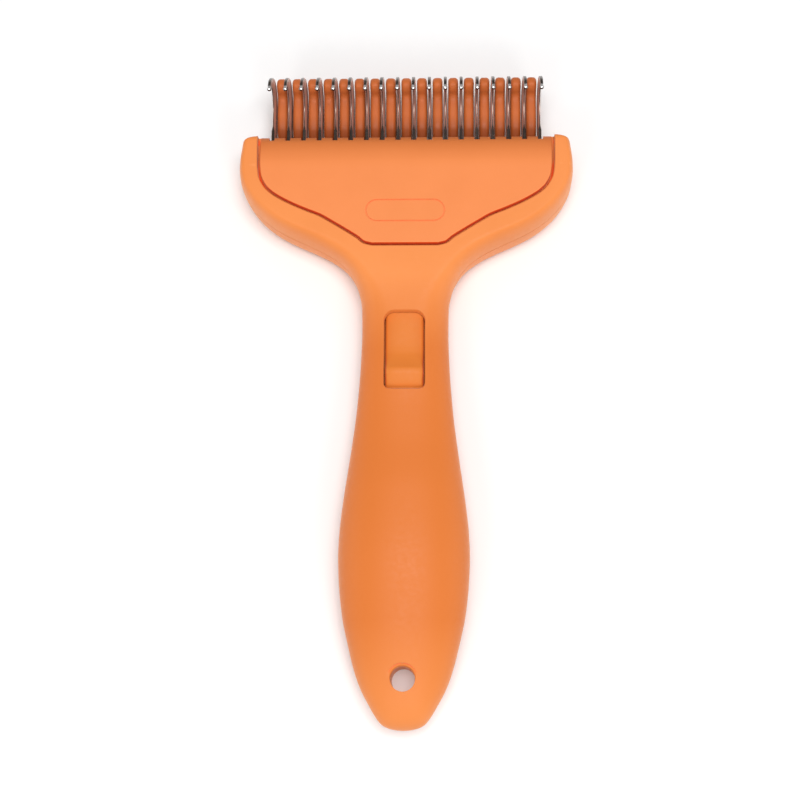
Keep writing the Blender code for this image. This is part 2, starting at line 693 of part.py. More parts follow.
def make_spring(build, paint):
    wire = bpy.data.curves.new("slider_spring", "CURVE")
    wire.dimensions = "3D"
    wire.bevel_depth = SPRING_WIRE * MM
    wire.bevel_resolution = 2
    wire.use_fill_caps = True
    spline = wire.splines.new("POLY")
    per_turn = 12
    count = SPRING_TURNS * per_turn
    spline.points.add(count)
    low = SPRING_Z[0] + SPRING_WIRE
    high = SPRING_Z[1] - SPRING_WIRE
    for i, point in enumerate(spline.points):
        turn = 2 * math.pi * i / per_turn
        point.co = (SPRING_RADIUS * math.cos(turn) * MM, SPRING_RADIUS * math.sin(turn) * MM,
                    (low + (high - low) * i / count) * MM, 1)
    spring = bpy.data.objects.new("slider_spring", wire)
    spring.location = (0, SPRING_Y * MM, 0)
    spring.parent = build.origin
    wire.materials.append(paint)
    build.parts.objects.link(spring)


def cross_outline(reach, half):
    """A plus sign, from its right arm round."""
    arm = ((reach, -half), (reach, half), (half, half))
    points = []
    for quarter in range(4):
        angle = quarter * math.pi / 2
        points += [(x * math.cos(angle) - y * math.sin(angle), x * math.sin(angle) + y * math.cos(angle))
                   for x, y in arm]
    return points


def make_screws(build, paint):
    radius, height = SCREW_HEAD
    for i, (x, y) in enumerate(SCREWS):
        seat = face_height(BACK, y) + SCREW_SEAT - 0.2
        profile = ((0, SCREW_END), (SCREW_SHANK * 0.5, SCREW_END), (SCREW_SHANK, SCREW_END - 1.2),
                   (SCREW_SHANK, seat), (radius, seat), (radius, seat - height * 0.6),
                   (radius * 0.75, seat - height), (0, seat - height))
        shape = profile_mesh("shell_screw", profile)
        screw = build.part(f"shell_screw_{i + 1}", shape, paint, (x, y, 0), smooth=False)
        turn(screw, 16)
        cross = prism_mesh("recess", cross_outline(1.4, 0.3), seat - height - 1, seat - height + 0.8)
        recess = build.cutter(f"screw_recess_{i + 1}", cross)
        recess.location = (x * MM, y * MM, 0)
        build.combine(screw, recess, "DIFFERENCE")


def main():
    clear_scene()
    build = Builder()
    shell_paint = material("shell_plastic", ORANGE, 0.45)
    steel = material("blade_steel", STEEL, 0.25, 1.0)
    zinc = material("zinc_steel", ZINC, 0.35, 1.0)
    make_front_shell(build, shell_paint)
    make_rear_shell(build, shell_paint)
    make_head_cover(build, material("cover_plastic", COVER_ORANGE, 0.45))
    make_guard_comb(build, material("comb_plastic", COMB_ORANGE, 0.45))
    make_carriage(build, material("inner_plastic", INNER_PLASTIC, 0.5))
    make_blades(build, steel)
    make_rods(build, zinc)
    make_thumb_slider(build, shell_paint)
    make_spring(build, zinc)
    make_screws(build, zinc)


main()
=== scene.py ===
import math
from functools import lru_cache

import bmesh
import bpy
import numpy as np
from mathutils import Matrix, Vector


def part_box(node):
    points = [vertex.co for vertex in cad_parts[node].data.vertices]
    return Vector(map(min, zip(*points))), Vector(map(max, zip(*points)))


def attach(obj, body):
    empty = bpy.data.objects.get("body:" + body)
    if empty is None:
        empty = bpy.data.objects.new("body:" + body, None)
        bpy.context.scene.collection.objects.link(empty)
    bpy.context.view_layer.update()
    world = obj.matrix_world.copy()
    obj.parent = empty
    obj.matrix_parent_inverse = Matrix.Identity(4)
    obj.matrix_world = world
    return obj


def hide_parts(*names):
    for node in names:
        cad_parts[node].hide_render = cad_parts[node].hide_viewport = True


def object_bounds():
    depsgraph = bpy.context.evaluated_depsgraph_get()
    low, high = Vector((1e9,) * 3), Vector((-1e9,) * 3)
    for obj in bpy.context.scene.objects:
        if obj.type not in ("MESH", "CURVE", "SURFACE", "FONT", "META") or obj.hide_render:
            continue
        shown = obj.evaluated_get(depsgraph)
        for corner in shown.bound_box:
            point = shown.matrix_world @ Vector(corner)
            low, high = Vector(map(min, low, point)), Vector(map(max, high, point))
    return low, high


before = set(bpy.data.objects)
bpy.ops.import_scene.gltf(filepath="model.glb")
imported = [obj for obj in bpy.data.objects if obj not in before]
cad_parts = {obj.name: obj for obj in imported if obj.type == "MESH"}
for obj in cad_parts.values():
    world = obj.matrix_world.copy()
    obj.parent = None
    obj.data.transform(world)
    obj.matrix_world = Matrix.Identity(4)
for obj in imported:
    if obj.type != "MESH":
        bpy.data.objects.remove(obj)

# The looks of the deshedding tool. Lengths are in millimetres along the tool, measured from
# the handle's end, and BUTT carries them into the frame.
CAD_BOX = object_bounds()
MM = 0.001
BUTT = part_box("front_shell")[0][1]

# The height and width of the joint between the two shells, the thickness of their walls, and
# the play between parts.
SPLIT_Z = 9.5
SPLIT_GAP = 0.3
WALL = 2.0
GAP = 0.3

# The handle and head: half widths, and heights of the front and back, along the tool.
OUTLINE = (
    (0, 0), (1.2, 5.1), (3.2, 6.9), (6.2, 8.7), (10, 10.75), (15, 12.6), (21, 14.15),
    (29, 15.85), (37.5, 16.75), (44, 17.0), (50, 16.75), (58, 15.9), (70, 14.2), (82, 12.7),
    (94, 11.8), (103.5, 11.5), (110, 11.6), (115, 12.5), (119, 14.2), (122.2, 16.6),
    (125.2, 20.4), (127.7, 25.0), (130.2, 30.3), (132.5, 34.5), (135, 37.9), (138, 40.9),
    (141.5, 43.3), (145, 44.8), (149, 45.3), (157.5, 44.4),
)
FRONT = ((0, SPLIT_Z), (1.4, 13.0), (5.5, 15.8), (13, 17.6), (28, 20.6), (44, 22.4),
         (60, 21.2), (75, 18.7), (85, 18.0), (157.5, 18.0))
BACK = ((0, SPLIT_Z), (1.4, 6.4), (5.5, 4.4), (13, 3.0), (28, 0.8), (42, 0.0),
        (54, 0.1), (72, 1.9), (91, 3.4), (106, 3.2), (119, 1.1), (127, 0.4),
        (138, 0.1), (148, 0.0), (151.5, 0.0), (157.5, 0.12))
HEAD_FACE = FRONT[-1][1]

# The radius of the rounded edges along the tool, how square their section is, and where the
# outline begins to turn outwards.
EDGE = ((0, 30.0), (90, 30.0), (102, 12.0), (113, 7.2), (119, 4.4), (125, 3.0),
        (137, 2.3), (148, 2.0), (157.5, 1.9))
EDGE_POWER = 2.3
HEAD_EDGE_POWER = ((112, 2.3), (127, 2.7))
LEAN_START = 96

# The head's top end, with its corners and its rounding, and the neck's narrowest place.
HEAD_TOP = 157.5
HEAD_CORNER = 2.0
END_ROUND = 1.7
NECK = 103.5

# The hollow inside the shells, and the mouth at its end that the blades come out of.
CAVITY_START = 24.0
CAVITY_END = 155.1
CAVITY_PAST = 2.0
HEAD_CEILING = 14.2
HEAD_CEILING_START = 125.5
MOUTH_HALF = 40.3
MOUTH_START = 148.0

# The head's cover: half widths and heights along the tool, and how its edges and rim fall.
PANEL = ((126.4, 8.7), (126.9, 10.7), (128.2, 12.3), (130.3, 15.5), (132.8, 19.55),
         (134.7, 22.8), (136, 26.0), (137.4, 29.2), (139, 32.4), (141.1, 35.7),
         (143, 37.55), (146, 38.9), (149.5, 39.25), (157.5, 39.4))
PANEL_FACE = ((126.3, 18.0), (148, 18.0), (152.5, 17.5), (155.5, 16.7), (157.5, 15.8))
PANEL_BACK = ((126.3, 15.9), (148, 15.9), (152.5, 15.5), (155.5, 14.9), (157.5, 14.5))
PANEL_ROUND = 0.22
COVER_EDGE = (0, 0.03, 0.08, 0.16, 0.26, 0.36, 0.6, 1.2)
RIM_ROUND = 2.6
RIM_FALL = 0.95
NOTCH = 1.3

# The seat that the cover lies in, the ledge under it, and the seam round it.
PANEL_SEAT = 15.6
PANEL_LEDGE = 1.5
SEAT_EDGE = 0.2
SEAT_FLARE = 2.0
SEAT_END_START = 150.0
SEAT_GAP = 0.1
SEAM = 0.78
SEAM_FLOOR = 14.7

# The blank label, a pill with a fine groove round it.
LABEL_LENGTH = 21.3
LABEL_HEIGHT = 6.3
LABEL_Y = 135.4
LABEL_GROOVE = 0.36
LABEL_DEPTH = 0.24

# The blades: a hooked outline of places along the tool and heights.
BLADE_COUNT = 18
BLADE_STEM = (6.2, 13.8)
BLADE_FOOT = 139.7
BLADE_HOOK = ((157.5, 13.8), (161.3, 13.8), (164.3, 14.0), (166.8, 14.6), (169.2, 16.1),
              (170.3, 18.6), (169.9, 21.4), (168.3, 23.4))
BLADE_TIP = ((167.25, 23.9), (167.1, 24.45), (167.5, 24.85), (168.2, 24.8))
BLADE_BACK = ((170.6, 23.3), (172.9, 19.9), (174.3, 15.8), (174.2, 12.0), (172.6, 8.9),
              (169.6, 7.1), (165, 6.3), (157.5, 6.2))
BLADE_BEVEL = 0.09

# The ground edge inside the hook: where it begins, how deep it is, and half its width. It ends
# in a bevel over the last points before the tip, which carries a small ball.
GROUND = (160.2, 161.6)
GROUND_DEPTH = 1.1
GROUND_EDGE = 0.1
TIP_BEVEL = 0.1
TIP_POINTS = 6
TIP_BALL = (167.62, 24.28, 0.6)

# The two rods through the blades, and half the width of the slots that the blades slide in.
RODS = ((142.1, 8.4), (144.5, 11.6))
ROD_HOLE = 1.1
SLOT_HALF = 0.75

# The guard comb and its fingers.
FINGER_HALF = 1.375
FINGER_ROUND = 0.95
FINGER = ((155.9, 7.6), (157.6, 7.6), (159.0, 8.6), (160.8, 9.8), (162.8, 10.8), (166.5, 11.2),
          (169.6, 11.5), (171.0, 12.3), (171.7, 13.9), (172.7, 15.0), (174.0, 15.0),
          (175.2, 14.2), (175.7, 12.6), (175.5, 9.6), (174.2, 6.8), (171.2, 4.8),
          (166, 3.8), (158, 3.4), (155.9, 3.4))
COMB_HALF = 38.9
COMB_BAR = (155.4, 157.5)
COMB_Z = (2.4, 13.9)
COMB_EAR = ((37.9, 150.1, 4.0), (41.6, 154.7, 12.0))
COMB_LEG = ((37.9, 154.1, 4.0), (38.9, 155.9, 12.0))

# The window over the thumb slider, the lip of the shell round it, and how far the slider runs.
TRAVEL = 8.0
WINDOW = (86.8, 107.4)
WINDOW_HALF = 5.35
WINDOW_TOP_CORNER = 2.6
WINDOW_FOOT_CORNER = 1.4
LIP = 1.2

# The thumb slider: its face and the ridge on it, and the gap beside it.
SLIDER_Y = (78.4, 113.4)
SLIDER_HALF = 5.03
SLIDER_EDGE = (0, 0.03, 0.09, 0.18, 0.3, 0.45, 0.62, 0.8)
SLIDER_FLAT = 4.05
SLIDER_ROUND = 0.8
SLIDER_FALL = 0.55
SLIDER_DEPTH = LIP + GAP + 0.05
CHANNEL_GAP = 0.57
SLIDER_RIDGE = ((87.3, 0.2), (88.1, 0.75), (89.9, 1.45), (91.2, 1.8), (91.8, 1.78),
                (93.2, 1.25), (94.9, 0.6), (96.6, 0.15), (98.2, 0.0))

# The slider's wings under the lip, its two legs, and the pocket for its spring.
WING_Y = (80.9, 110.9)
WING_HALF = 7.4
WING_Z = (11.9, 13.3)
LEGS = (84.4, 107.4)
LEG_SIZE = (4.4, 4.0)
LEG_END = 7.8
SPRING_Y = 96.9
SPRING_POCKET = (3.0, 14.8)

# The hanging hole, and how far its rounded rims stand off the faces.
HOLE_Y = 12.5
HOLE_RADIUS = 3.1
HOLE_FLARE = 0.75
HOLE_LIFT = 0.12

# The screws: places, seat and head, shank, end and cross recess, and the posts round them.
SCREWS = ((-26.0, 133.9), (26.0, 133.9), (0.0, 71.0), (0.0, 31.0))
SCREW_SEAT = 2.7
SCREW_PLAY = 0.2
SCREW_HEAD = (2.3, 1.6)
SCREW_SHANK = 1.05
SCREW_END = 14.4
SCREW_POINT = 1.2
CROSS = (1.35, 0.3)
CROSS_LEVELS = ((0, -1), (0, 0.35), (-0.14, 0.85))
BOSS_RADIUS = 3.3
BOSS_SINK = 0.8
PILOT_SPARE = 0.4

# The plastics, each a colour, a deeper one for its clouds and a pale one for rubbed edges.
SHELL_ORANGE = ((0.84, 0.262, 0.064), (0.80, 0.242, 0.056), (0.90, 0.34, 0.12))
COVER_ORANGE = ((0.84, 0.250, 0.070), (0.80, 0.232, 0.062), (0.90, 0.34, 0.13))
COMB_ORANGE = ((0.61, 0.148, 0.034), (0.54, 0.125, 0.027), (0.75, 0.24, 0.07))
SLIDER_ORANGE = ((0.735, 0.203, 0.028), (0.70, 0.188, 0.025), (0.88, 0.31, 0.11))
INNER_CREAM = ((0.72, 0.70, 0.64), (0.66, 0.64, 0.58), (0.82, 0.81, 0.77))
SHEEN_TINT = (1.0, 0.68, 0.46, 1.0)

# Painted shade on the plastics: where along the tool each fades in, and what it multiplies the
# deeper colour by. The grip, the roots of the fingers and the cover's rim are painted darker, and
# inward corners and upright walls darker and redder, all as shade.
GRIP = (3.0, 27.0, 118.0, 98.0)
GRIP_SHADE_TINT = (0.87, 0.735, 0.50)
FINGER_ROOTS = (166.0, 158.5)
ROOT_SHADE_TINT = (0.52, 0.35, 0.10)
RIM_SHADE = (149.5, 157.5)
RIM_SHADE_TINT = (0.76, 0.68, 0.50)
RECESS_SHADE_TINT = (1.2, 0.40, 0.06)

# The metals, each a colour and a darker one. The blades' sides are painted bright as reflected
# light and their edges dark as shade, and a painted highlight sits on the top of each hook's tip.
SHADED_BLADE_EDGES = ((0.13, 0.10, 0.085), (0.07, 0.054, 0.045))
LIT_BLADE_SIDES = ((0.86, 0.79, 0.76), (0.72, 0.64, 0.61))
TIP_HIGHLIGHT = (0.85, 0.83, 0.82)
TIP_HIGHLIGHT_START = 24.8
ZINC = ((0.62, 0.64, 0.68), (0.46, 0.48, 0.52))
ROD_STEEL = ((0.60, 0.60, 0.62), (0.46, 0.46, 0.48))
SPRING_STEEL = ((0.52, 0.54, 0.57), (0.40, 0.42, 0.45))

# The camera: how far it leans back and sideways, its turn, distance and lens, and what it
# looks at.
CAMERA_TILT = math.atan(360 / 1514)
CAMERA_SWING = math.atan(50 / 1514)
CAMERA_ROLL = math.radians(0.386)
CAMERA_DISTANCE = 0.4
CAMERA_LENS = 68.13
CAMERA_TARGET = (-1.31, 85.44, SPLIT_Z)

# The light from all round, and the soft boxes: place and size in metres, and power in watts.
WORLD_LIGHT = 0.36
SOFT_BOXES = (
    ("overhead_box", (0.06, -0.05, 0.9), (0.4, 0.4), 5.35),
    ("low_box_left", (-0.31, -0.6, 0.62), (0.22, 0.22), 0.9),
    ("low_box_right", (0.31, -0.6, 0.62), (0.22, 0.22), 0.9),
    ("side_box_left", (-0.7, 0.0, 0.2), (0.4, 0.25), 0.7),
    ("side_box_right", (0.7, 0.0, 0.2), (0.4, 0.25), 0.7),
)
FLOOR_SIZE = 6.0
FLOOR_DROP = 0.0001


def curve(points, value):
    """Reads a smooth curve through the points that never overshoots them."""
    x = np.array([p[0] for p in points], float)
    y = np.array([p[1] for p in points], float)
    slope = np.diff(y) / np.diff(x)
    tangent = np.zeros(len(x))
    for i in range(1, len(x) - 1):
        if slope[i - 1] * slope[i] > 0:
            tangent[i] = 2 * slope[i - 1] * slope[i] / (slope[i - 1] + slope[i])
    tangent[0] = slope[0]
    tangent[-1] = slope[-1]
    value = min(max(value, x[0]), x[-1])
    k = min(max(int(np.searchsorted(x, value, side="right")) - 1, 0), len(x) - 2)
    step = x[k + 1] - x[k]
    t = (value - x[k]) / step
    return float(
        y[k] * (1 + 2 * t) * (1 - t) ** 2
        + tangent[k] * step * t * (1 - t) ** 2
        + y[k + 1] * t * t * (3 - 2 * t)
        + tangent[k + 1] * step * t * t * (t - 1)
    )


def rounded(points):
    """The same points over the root of their distance, for an end that is round."""
    return tuple((math.sqrt(p[0]), p[1]) for p in points)


@lru_cache(maxsize=None)
def outer_half(y):
    """Half the tool's width, with the head's top corners rounded."""
    half = min(curve(rounded(OUTLINE), math.sqrt(y)), CAD_BOX[1][0] / MM)
    past = min(max(y - (HEAD_TOP - HEAD_CORNER), 0), HEAD_CORNER)
    return half - (HEAD_CORNER - math.sqrt(HEAD_CORNER**2 - past**2))


@lru_cache(maxsize=None)
def face_height(points, y):
    """The height of the tool's face or back on its middle line."""
    return curve(rounded(points), math.sqrt(y))


@lru_cache(maxsize=None)
def edge_radius(y):
    """How wide the rounded edge is at y."""
    return min(curve(EDGE, y), outer_half(y))


@lru_cache(maxsize=None)
def edge_lean(y):
    """How far the outline turns across the tool at y: 1 where it runs along it."""
    if y <= LEAN_START:
        return 1.0
    step = 0.2
    ahead = outer_half(min(y + step, HEAD_TOP - HEAD_CORNER))
    rise = (ahead - outer_half(y - step)) / (2 * step)
    return 1 / math.sqrt(1 + rise**2)


def offset_outline(half, start, end, grow):
    """Half width, over y, of an outline moved outwards by grow."""
    y = np.linspace(start, end, 400)
    x = np.array([half(v) for v in y])
    dx = np.gradient(x, y)
    size = np.sqrt(1 + dx**2)
    moved_x = x + grow / size
    moved_y = y - grow * dx / size
    return lambda v: float(np.interp(v, moved_y, moved_x))


def edge_factor(x, y, half, radius):
    """How high the surface stands at x, from 0 at its edge to 1 on its flat part."""
    depth = min(max((half - abs(x)) * edge_lean(y) / radius, 0.0), 1.0)
    power = curve(HEAD_EDGE_POWER, y)
    return (1 - (1 - depth) ** power) ** (1 / power)


def shell_surface(points, inset=0.0, ceiling=None):
    """Height, over x and y, of the tool's face or back, or of the cavity under it."""
    inner_half = offset_outline(outer_half, 0.5, HEAD_TOP, -inset) if inset else outer_half

    def height(x, y):
        half = inner_half(y)
        radius = max(edge_radius(y) - inset, 1.0)
        top = face_height(points, y)
        side = 1 if top >= SPLIT_Z else -1
        rise = abs(top - SPLIT_Z) - inset
        if not inset:
            past = max(y - (HEAD_TOP - END_ROUND), 0)
            rise -= END_ROUND - math.sqrt(END_ROUND**2 - past**2)
        if ceiling and y > HEAD_CEILING_START:
            rise = min(rise, ceiling - SPLIT_Z)
        return SPLIT_Z + side * rise * edge_factor(x, y, half, radius)

    return inner_half, height


def mirrored(side):
    """Places on one side, the middle, and the same places on the other side."""
    return side + [0.0] + [-x for x in reversed(side)]


def shell_columns(y, half, inset, edge_steps, flat_steps):
    """Places across the tool, closer together on the rounded edges."""
    radius = max(edge_radius(y) - inset, 1.0)
    reach = min(radius / edge_lean(y), 0.85 * half)
    edge = [half - reach * (1 - math.cos(k * math.pi / 2 / edge_steps)) for k in range(edge_steps)]
    flat = [(half - reach) * (1 - k / flat_steps) for k in range(flat_steps)]
    return mirrored(edge + flat)


def outer_rows():
    """Places along the outside: close at the round end, the shoulder and the head's top."""
    rows = [12 * (1 - math.cos(k * math.pi / 32)) for k in range(16)]
    rows += list(np.linspace(12, 110, 62)[:-1])
    rows += list(np.linspace(110, 150, 56))
    rows += [HEAD_TOP - s for s in (6, 4.5, 3.2, 2.4, 1.8, 1.3, 0.9, 0.55, 0.3, 0.12, 0)]
    return rows


def cavity_rows():
    """Places along the hollow inside."""
    middle = list(np.linspace(28, 108, 10)) + list(np.linspace(112, 152, 20))
    return [CAVITY_START] + middle + [CAVITY_END]


def place(x, y, z):
    """A point of the tool, in millimetres, as a point of the frame."""
    return (x * MM, BUTT + y * MM, z * MM)


def finish_mesh(bm, name):
    """A clean mesh out of a bmesh, with its faces turned outwards."""
    bmesh.ops.remove_doubles(bm, verts=bm.verts, dist=1e-6)
    bmesh.ops.dissolve_degenerate(bm, edges=bm.edges, dist=1e-7)
    bmesh.ops.recalc_face_normals(bm, faces=bm.faces)
    mesh = bpy.data.meshes.new(name)
    bm.to_mesh(mesh)
    bm.free()
    return mesh


def loft(name, rows, columns, top, bottom):
    """A closed solid: rows of points at the top, and a level line under each row."""
    bm = bmesh.new()
    upper = []
    lower = []
    for y in rows:
        places = columns(y)
        upper.append([bm.verts.new(place(x, y, top(x, y))) for x in places])
        lower.append([bm.verts.new(place(x, y, bottom(y))) for x in (places[0], places[-1])])
    for i in range(len(rows) - 1):
        for sheet in (upper, lower):
            for j in range(len(sheet[i]) - 1):
                bm.faces.new((sheet[i][j], sheet[i][j + 1], sheet[i + 1][j + 1], sheet[i + 1][j]))
        for j in (0, -1):
            bm.faces.new((upper[i][j], upper[i + 1][j], lower[i + 1][j], lower[i][j]))
    for i in (0, -1):
        bm.faces.new(upper[i] + list(reversed(lower[i])))
    return finish_mesh(bm, name)


def box_mesh(name, low, high):
    """A box between two corners."""
    bm = bmesh.new()
    bmesh.ops.create_cube(bm, size=1.0)
    for vert in bm.verts:
        corner = [high[k] if vert.co[k] > 0 else low[k] for k in range(3)]
        vert.co = place(*corner)
    return finish_mesh(bm, name)


def full_turn(segments):
    """The angles of a circle's points."""
    return [2 * math.pi * k / segments for k in range(segments)]


def turned_mesh(name, x, y, profile, segments):
    """A line of radius and height turned round an upright axis."""
    bm = bmesh.new()
    rings = []
    for radius, z in profile:
        if radius == 0:
            rings.append([bm.verts.new(place(x, y, z))])
            continue
        rings.append([
            bm.verts.new(place(x + radius * math.cos(a), y + radius * math.sin(a), z))
            for a in full_turn(segments)
        ])
    for above, below in zip(rings, rings[1:]):
        for k in range(segments):
            n = (k + 1) % segments
            corners = [above[k % len(above)], above[n % len(above)],
                       below[n % len(below)], below[k % len(below)]]
            bm.faces.new(list(dict.fromkeys(corners)))
    return finish_mesh(bm, name)


def post_mesh(name, x, y, radius, top, foot, segments=32):
    """An upright cylinder."""
    profile = [(0, top), (radius, top), (radius, foot), (0, foot)]
    return turned_mesh(name, x, y, profile, segments)


def ball_mesh(name, x, y, z, radius):
    """A ball around a point."""
    bm = bmesh.new()
    bmesh.ops.create_uvsphere(bm, u_segments=20, v_segments=12, radius=radius * MM)
    bmesh.ops.translate(bm, verts=bm.verts, vec=place(x, y, z))
    return finish_mesh(bm, name)


def join_meshes(name, meshes):
    """One mesh of several that don't touch."""
    bm = bmesh.new()
    for mesh in meshes:
        bm.from_mesh(mesh)
        bpy.data.meshes.remove(mesh)
    made = bpy.data.meshes.new(name)
    bm.to_mesh(made)
    bm.free()
    return made


def smooth_line(points, steps):
    """Points along a smooth line through the given ones."""
    p = [np.array(q, float) for q in points]
    p = [2 * p[0] - p[1]] + p + [2 * p[-1] - p[-2]]
    line = []
    for i in range(1, len(p) - 2):
        for k in range(steps):
            t = k / steps
            line.append(tuple(0.5 * (
                2 * p[i] + (p[i + 1] - p[i - 1]) * t
                + (2 * p[i - 1] - 5 * p[i] + 4 * p[i + 1] - p[i + 2]) * t**2
                + (3 * p[i] - p[i - 1] - 3 * p[i + 1] + p[i + 2]) * t**3
            )))
    line.append(tuple(p[-2]))
    return line


def outward(outline):
    """The direction out of a closed outline at each of its points."""
    p = np.array(outline, float)
    ahead = np.roll(p, -1, axis=0) - p
    behind = p - np.roll(p, 1, axis=0)
    ahead /= np.linalg.norm(ahead, axis=1)[:, None]
    behind /= np.linalg.norm(behind, axis=1)[:, None]
    along = ahead + behind
    along /= np.linalg.norm(along, axis=1)[:, None]
    normal = np.stack([along[:, 1], -along[:, 0]], axis=1)
    area = np.sum(p[:, 0] * np.roll(p[:, 1], -1) - np.roll(p[:, 0], -1) * p[:, 1])
    return normal if area > 0 else -normal


def stacked(name, outline, levels, point):
    """A solid of outlines. A level gives how far the outline grows and where it stands, each as
    one number or as one for every point of it, and point turns them into a place."""
    bm = bmesh.new()
    base = np.array(outline, float)
    normal = outward(outline)
    every = np.ones(len(base))
    rings = []
    for grow, level in levels:
        moved = base + normal * (grow * every)[:, None]
        rings.append([bm.verts.new(point(a, b, c)) for (a, b), c in zip(moved, level * every)])
    for lower, upper in zip(rings, rings[1:]):
        for k in range(len(base)):
            n = (k + 1) % len(base)
            bm.faces.new((lower[k], lower[n], upper[n], upper[k]))
    bm.faces.new(rings[0])
    bm.faces.new(rings[-1])
    return finish_mesh(bm, name)


def upright(name, outline, levels):
    """A stack of outlines seen from the front, from the lowest level up."""
    return stacked(name, outline, levels, place)


def sideways(name, outline, levels, x):
    """A stack of outlines seen from the side, across the tool around x."""
    return stacked(name, outline, levels, lambda a, b, level: place(x + level, a, b))


def cross_tube(name, y, z, radius, reach):
    """A cylinder that runs across the tool."""
    circle = [(y + radius * math.cos(a), z + radius * math.sin(a)) for a in full_turn(24)]
    return sideways(name, circle, ((0, -reach), (0, reach)), 0)


def in_scene(name, data):
    """A new object in the scene."""
    made = bpy.data.objects.new(name, data)
    bpy.context.scene.collection.objects.link(made)
    return made


def carved(name, mesh, steps):
    """A mesh after a list of (operation, mesh) steps."""
    made = in_scene(name, mesh)
    helpers = []
    for operation, tool in steps:
        helper = in_scene("helper", tool)
        helpers.append(helper)
        step = made.modifiers.new(operation, "BOOLEAN")
        step.object = helper
        step.operation = operation
        step.solver = "EXACT"
    seen = made.evaluated_get(bpy.context.evaluated_depsgraph_get())
    result = bpy.data.meshes.new_from_object(seen)
    result.name = name
    for helper in helpers + [made]:
        old = helper.data
        bpy.data.objects.remove(helper, do_unlink=True)
        bpy.data.meshes.remove(old)
    return result


def piece(name, mesh, paint, node, body, sharp=32):
    """A visible piece that rides on a body and stands for a CAD node."""
    made = in_scene(name, mesh)
    mesh.materials.clear()
    mesh.materials.append(paint)
    mesh.shade_smooth()
    mesh.set_sharp_from_angle(angle=math.radians(sharp))
    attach(made, body)
    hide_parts(node)
    return made


def blade_places():
    """Where the blades stand across the tool."""
    places = []
    for i in range(BLADE_COUNT):
        low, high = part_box(f"blade_{i + 1:02d}")
        places.append((low[0] + high[0]) / 2 / MM)
    return places


def blade_slots(name, low, high):
    """One narrow box for each blade to slide in."""
    return join_meshes(name, [
        box_mesh(name, (x - SLOT_HALF, low[0], low[1]), (x + SLOT_HALF, high[0], high[1]))
        for x in blade_places()
    ])


def arc(centre_x, centre_y, radius, start, end, steps):
    """Points on an arc, with its angles in quarter turns."""
    angles = [math.pi / 2 * (start + (end - start) * k / steps) for k in range(steps + 1)]
    return [(centre_x + radius * math.cos(a), centre_y + radius * math.sin(a)) for a in angles]


def window_outline():
    """The slot for the thumb: a rectangle with larger corners at its top end."""
    top = WINDOW_TOP_CORNER
    foot = WINDOW_FOOT_CORNER
    return (
        arc(WINDOW_HALF - foot, WINDOW[0] + foot, foot, -1, 0, 8)
        + arc(WINDOW_HALF - top, WINDOW[1] - top, top, 0, 1, 10)
        + arc(-WINDOW_HALF + top, WINDOW[1] - top, top, 1, 2, 10)
        + arc(-WINDOW_HALF + foot, WINDOW[0] + foot, foot, 2, 3, 8)
    )


def pill_outline():
    """The label's outline, with a half circle at each end."""
    radius = LABEL_HEIGHT / 2
    reach = LABEL_LENGTH / 2 - radius
    right = arc(reach, LABEL_Y, radius, -1, 1, 24)
    return right + arc(-reach, LABEL_Y, radius, 1, 3, 24)


def panel_outline():
    """The cover's edge from one top corner down and up to the other, carried on past the top."""
    half = [(curve(PANEL, y), y) for y in panel_rows()]
    side = [p for p in half if p[1] < HEAD_TOP] + [(PANEL[-1][1], HEAD_TOP + 4)]
    return [(-x, y) for x, y in reversed(side)] + side


def panel_rows():
    """Places along the cover, closer at its lower end."""
    start = PANEL[0][0]
    near = [start + s for s in (0, 0.06, 0.16, 0.3, 0.5, 0.8, 1.2, 1.7, 2.3, 3.0)]
    return near + list(np.linspace(start + 3.8, HEAD_TOP, 44))


def neck_arch(x, below):
    """Height across the neck at its narrowest, a set distance under the outer face."""
    half = OUTLINE[[p[0] for p in OUTLINE].index(NECK)][1]
    share = (1 - (abs(x) / half) ** EDGE_POWER) ** (1 / EDGE_POWER)
    return SPLIT_Z + (HEAD_FACE - SPLIT_Z) * share - below


def hole_profile():
    """The hanging hole, rounded over where it meets the front and the back."""
    front = face_height(FRONT, HOLE_Y)
    back = face_height(BACK, HOLE_Y)
    wide = HOLE_RADIUS + HOLE_FLARE
    turns = [math.pi / 2 * k / 6 for k in range(7)]
    upper = [(wide - HOLE_FLARE * math.sin(a), front - HOLE_FLARE * (1 - math.cos(a)))
             for a in turns]
    lower = [(r, back + front - z) for r, z in reversed(upper)]
    upper = [(r, z + HOLE_LIFT) for r, z in upper]
    lower = [(r, z - HOLE_LIFT) for r, z in lower]
    rim = wide + 0.2
    top = front + 3
    foot = back - 3
    return [(0, top), (rim, top)] + upper + lower + [(rim, foot), (0, foot)]


def hole_cutter():
    """What the hanging hole takes out of both shells."""
    return turned_mesh("hanging_hole", 0, HOLE_Y, hole_profile(), 56)


def shell_solid(name, points, side):
    """The front half of the tool (side 1) or the back half (side -1), still solid."""
    half, height = shell_surface(points)
    seam = SPLIT_Z + side * SPLIT_GAP / 2
    level = max if side > 0 else min
    return loft(name, outer_rows(), lambda y: shell_columns(y, half(y), 0, 13, 9),
                lambda x, y: level(height(x, y), seam), lambda y: seam)


def cavity_solid(name, points, side, ceiling=None):
    """The hollow inside one half, a wall's thickness under its surface."""
    half, height = shell_surface(points, WALL, ceiling)
    base = SPLIT_Z - side * CAVITY_PAST
    return loft(name, cavity_rows(), lambda y: shell_columns(y, half(y), WALL, 5, 2), height,
                lambda y: base)


def front_under(y):
    """A height inside the front wall, for a boss to end in."""
    ceiling = face_height(FRONT, y) - WALL
    if y > HEAD_CEILING_START:
        ceiling = min(ceiling, HEAD_CEILING)
    return ceiling + BOSS_SINK


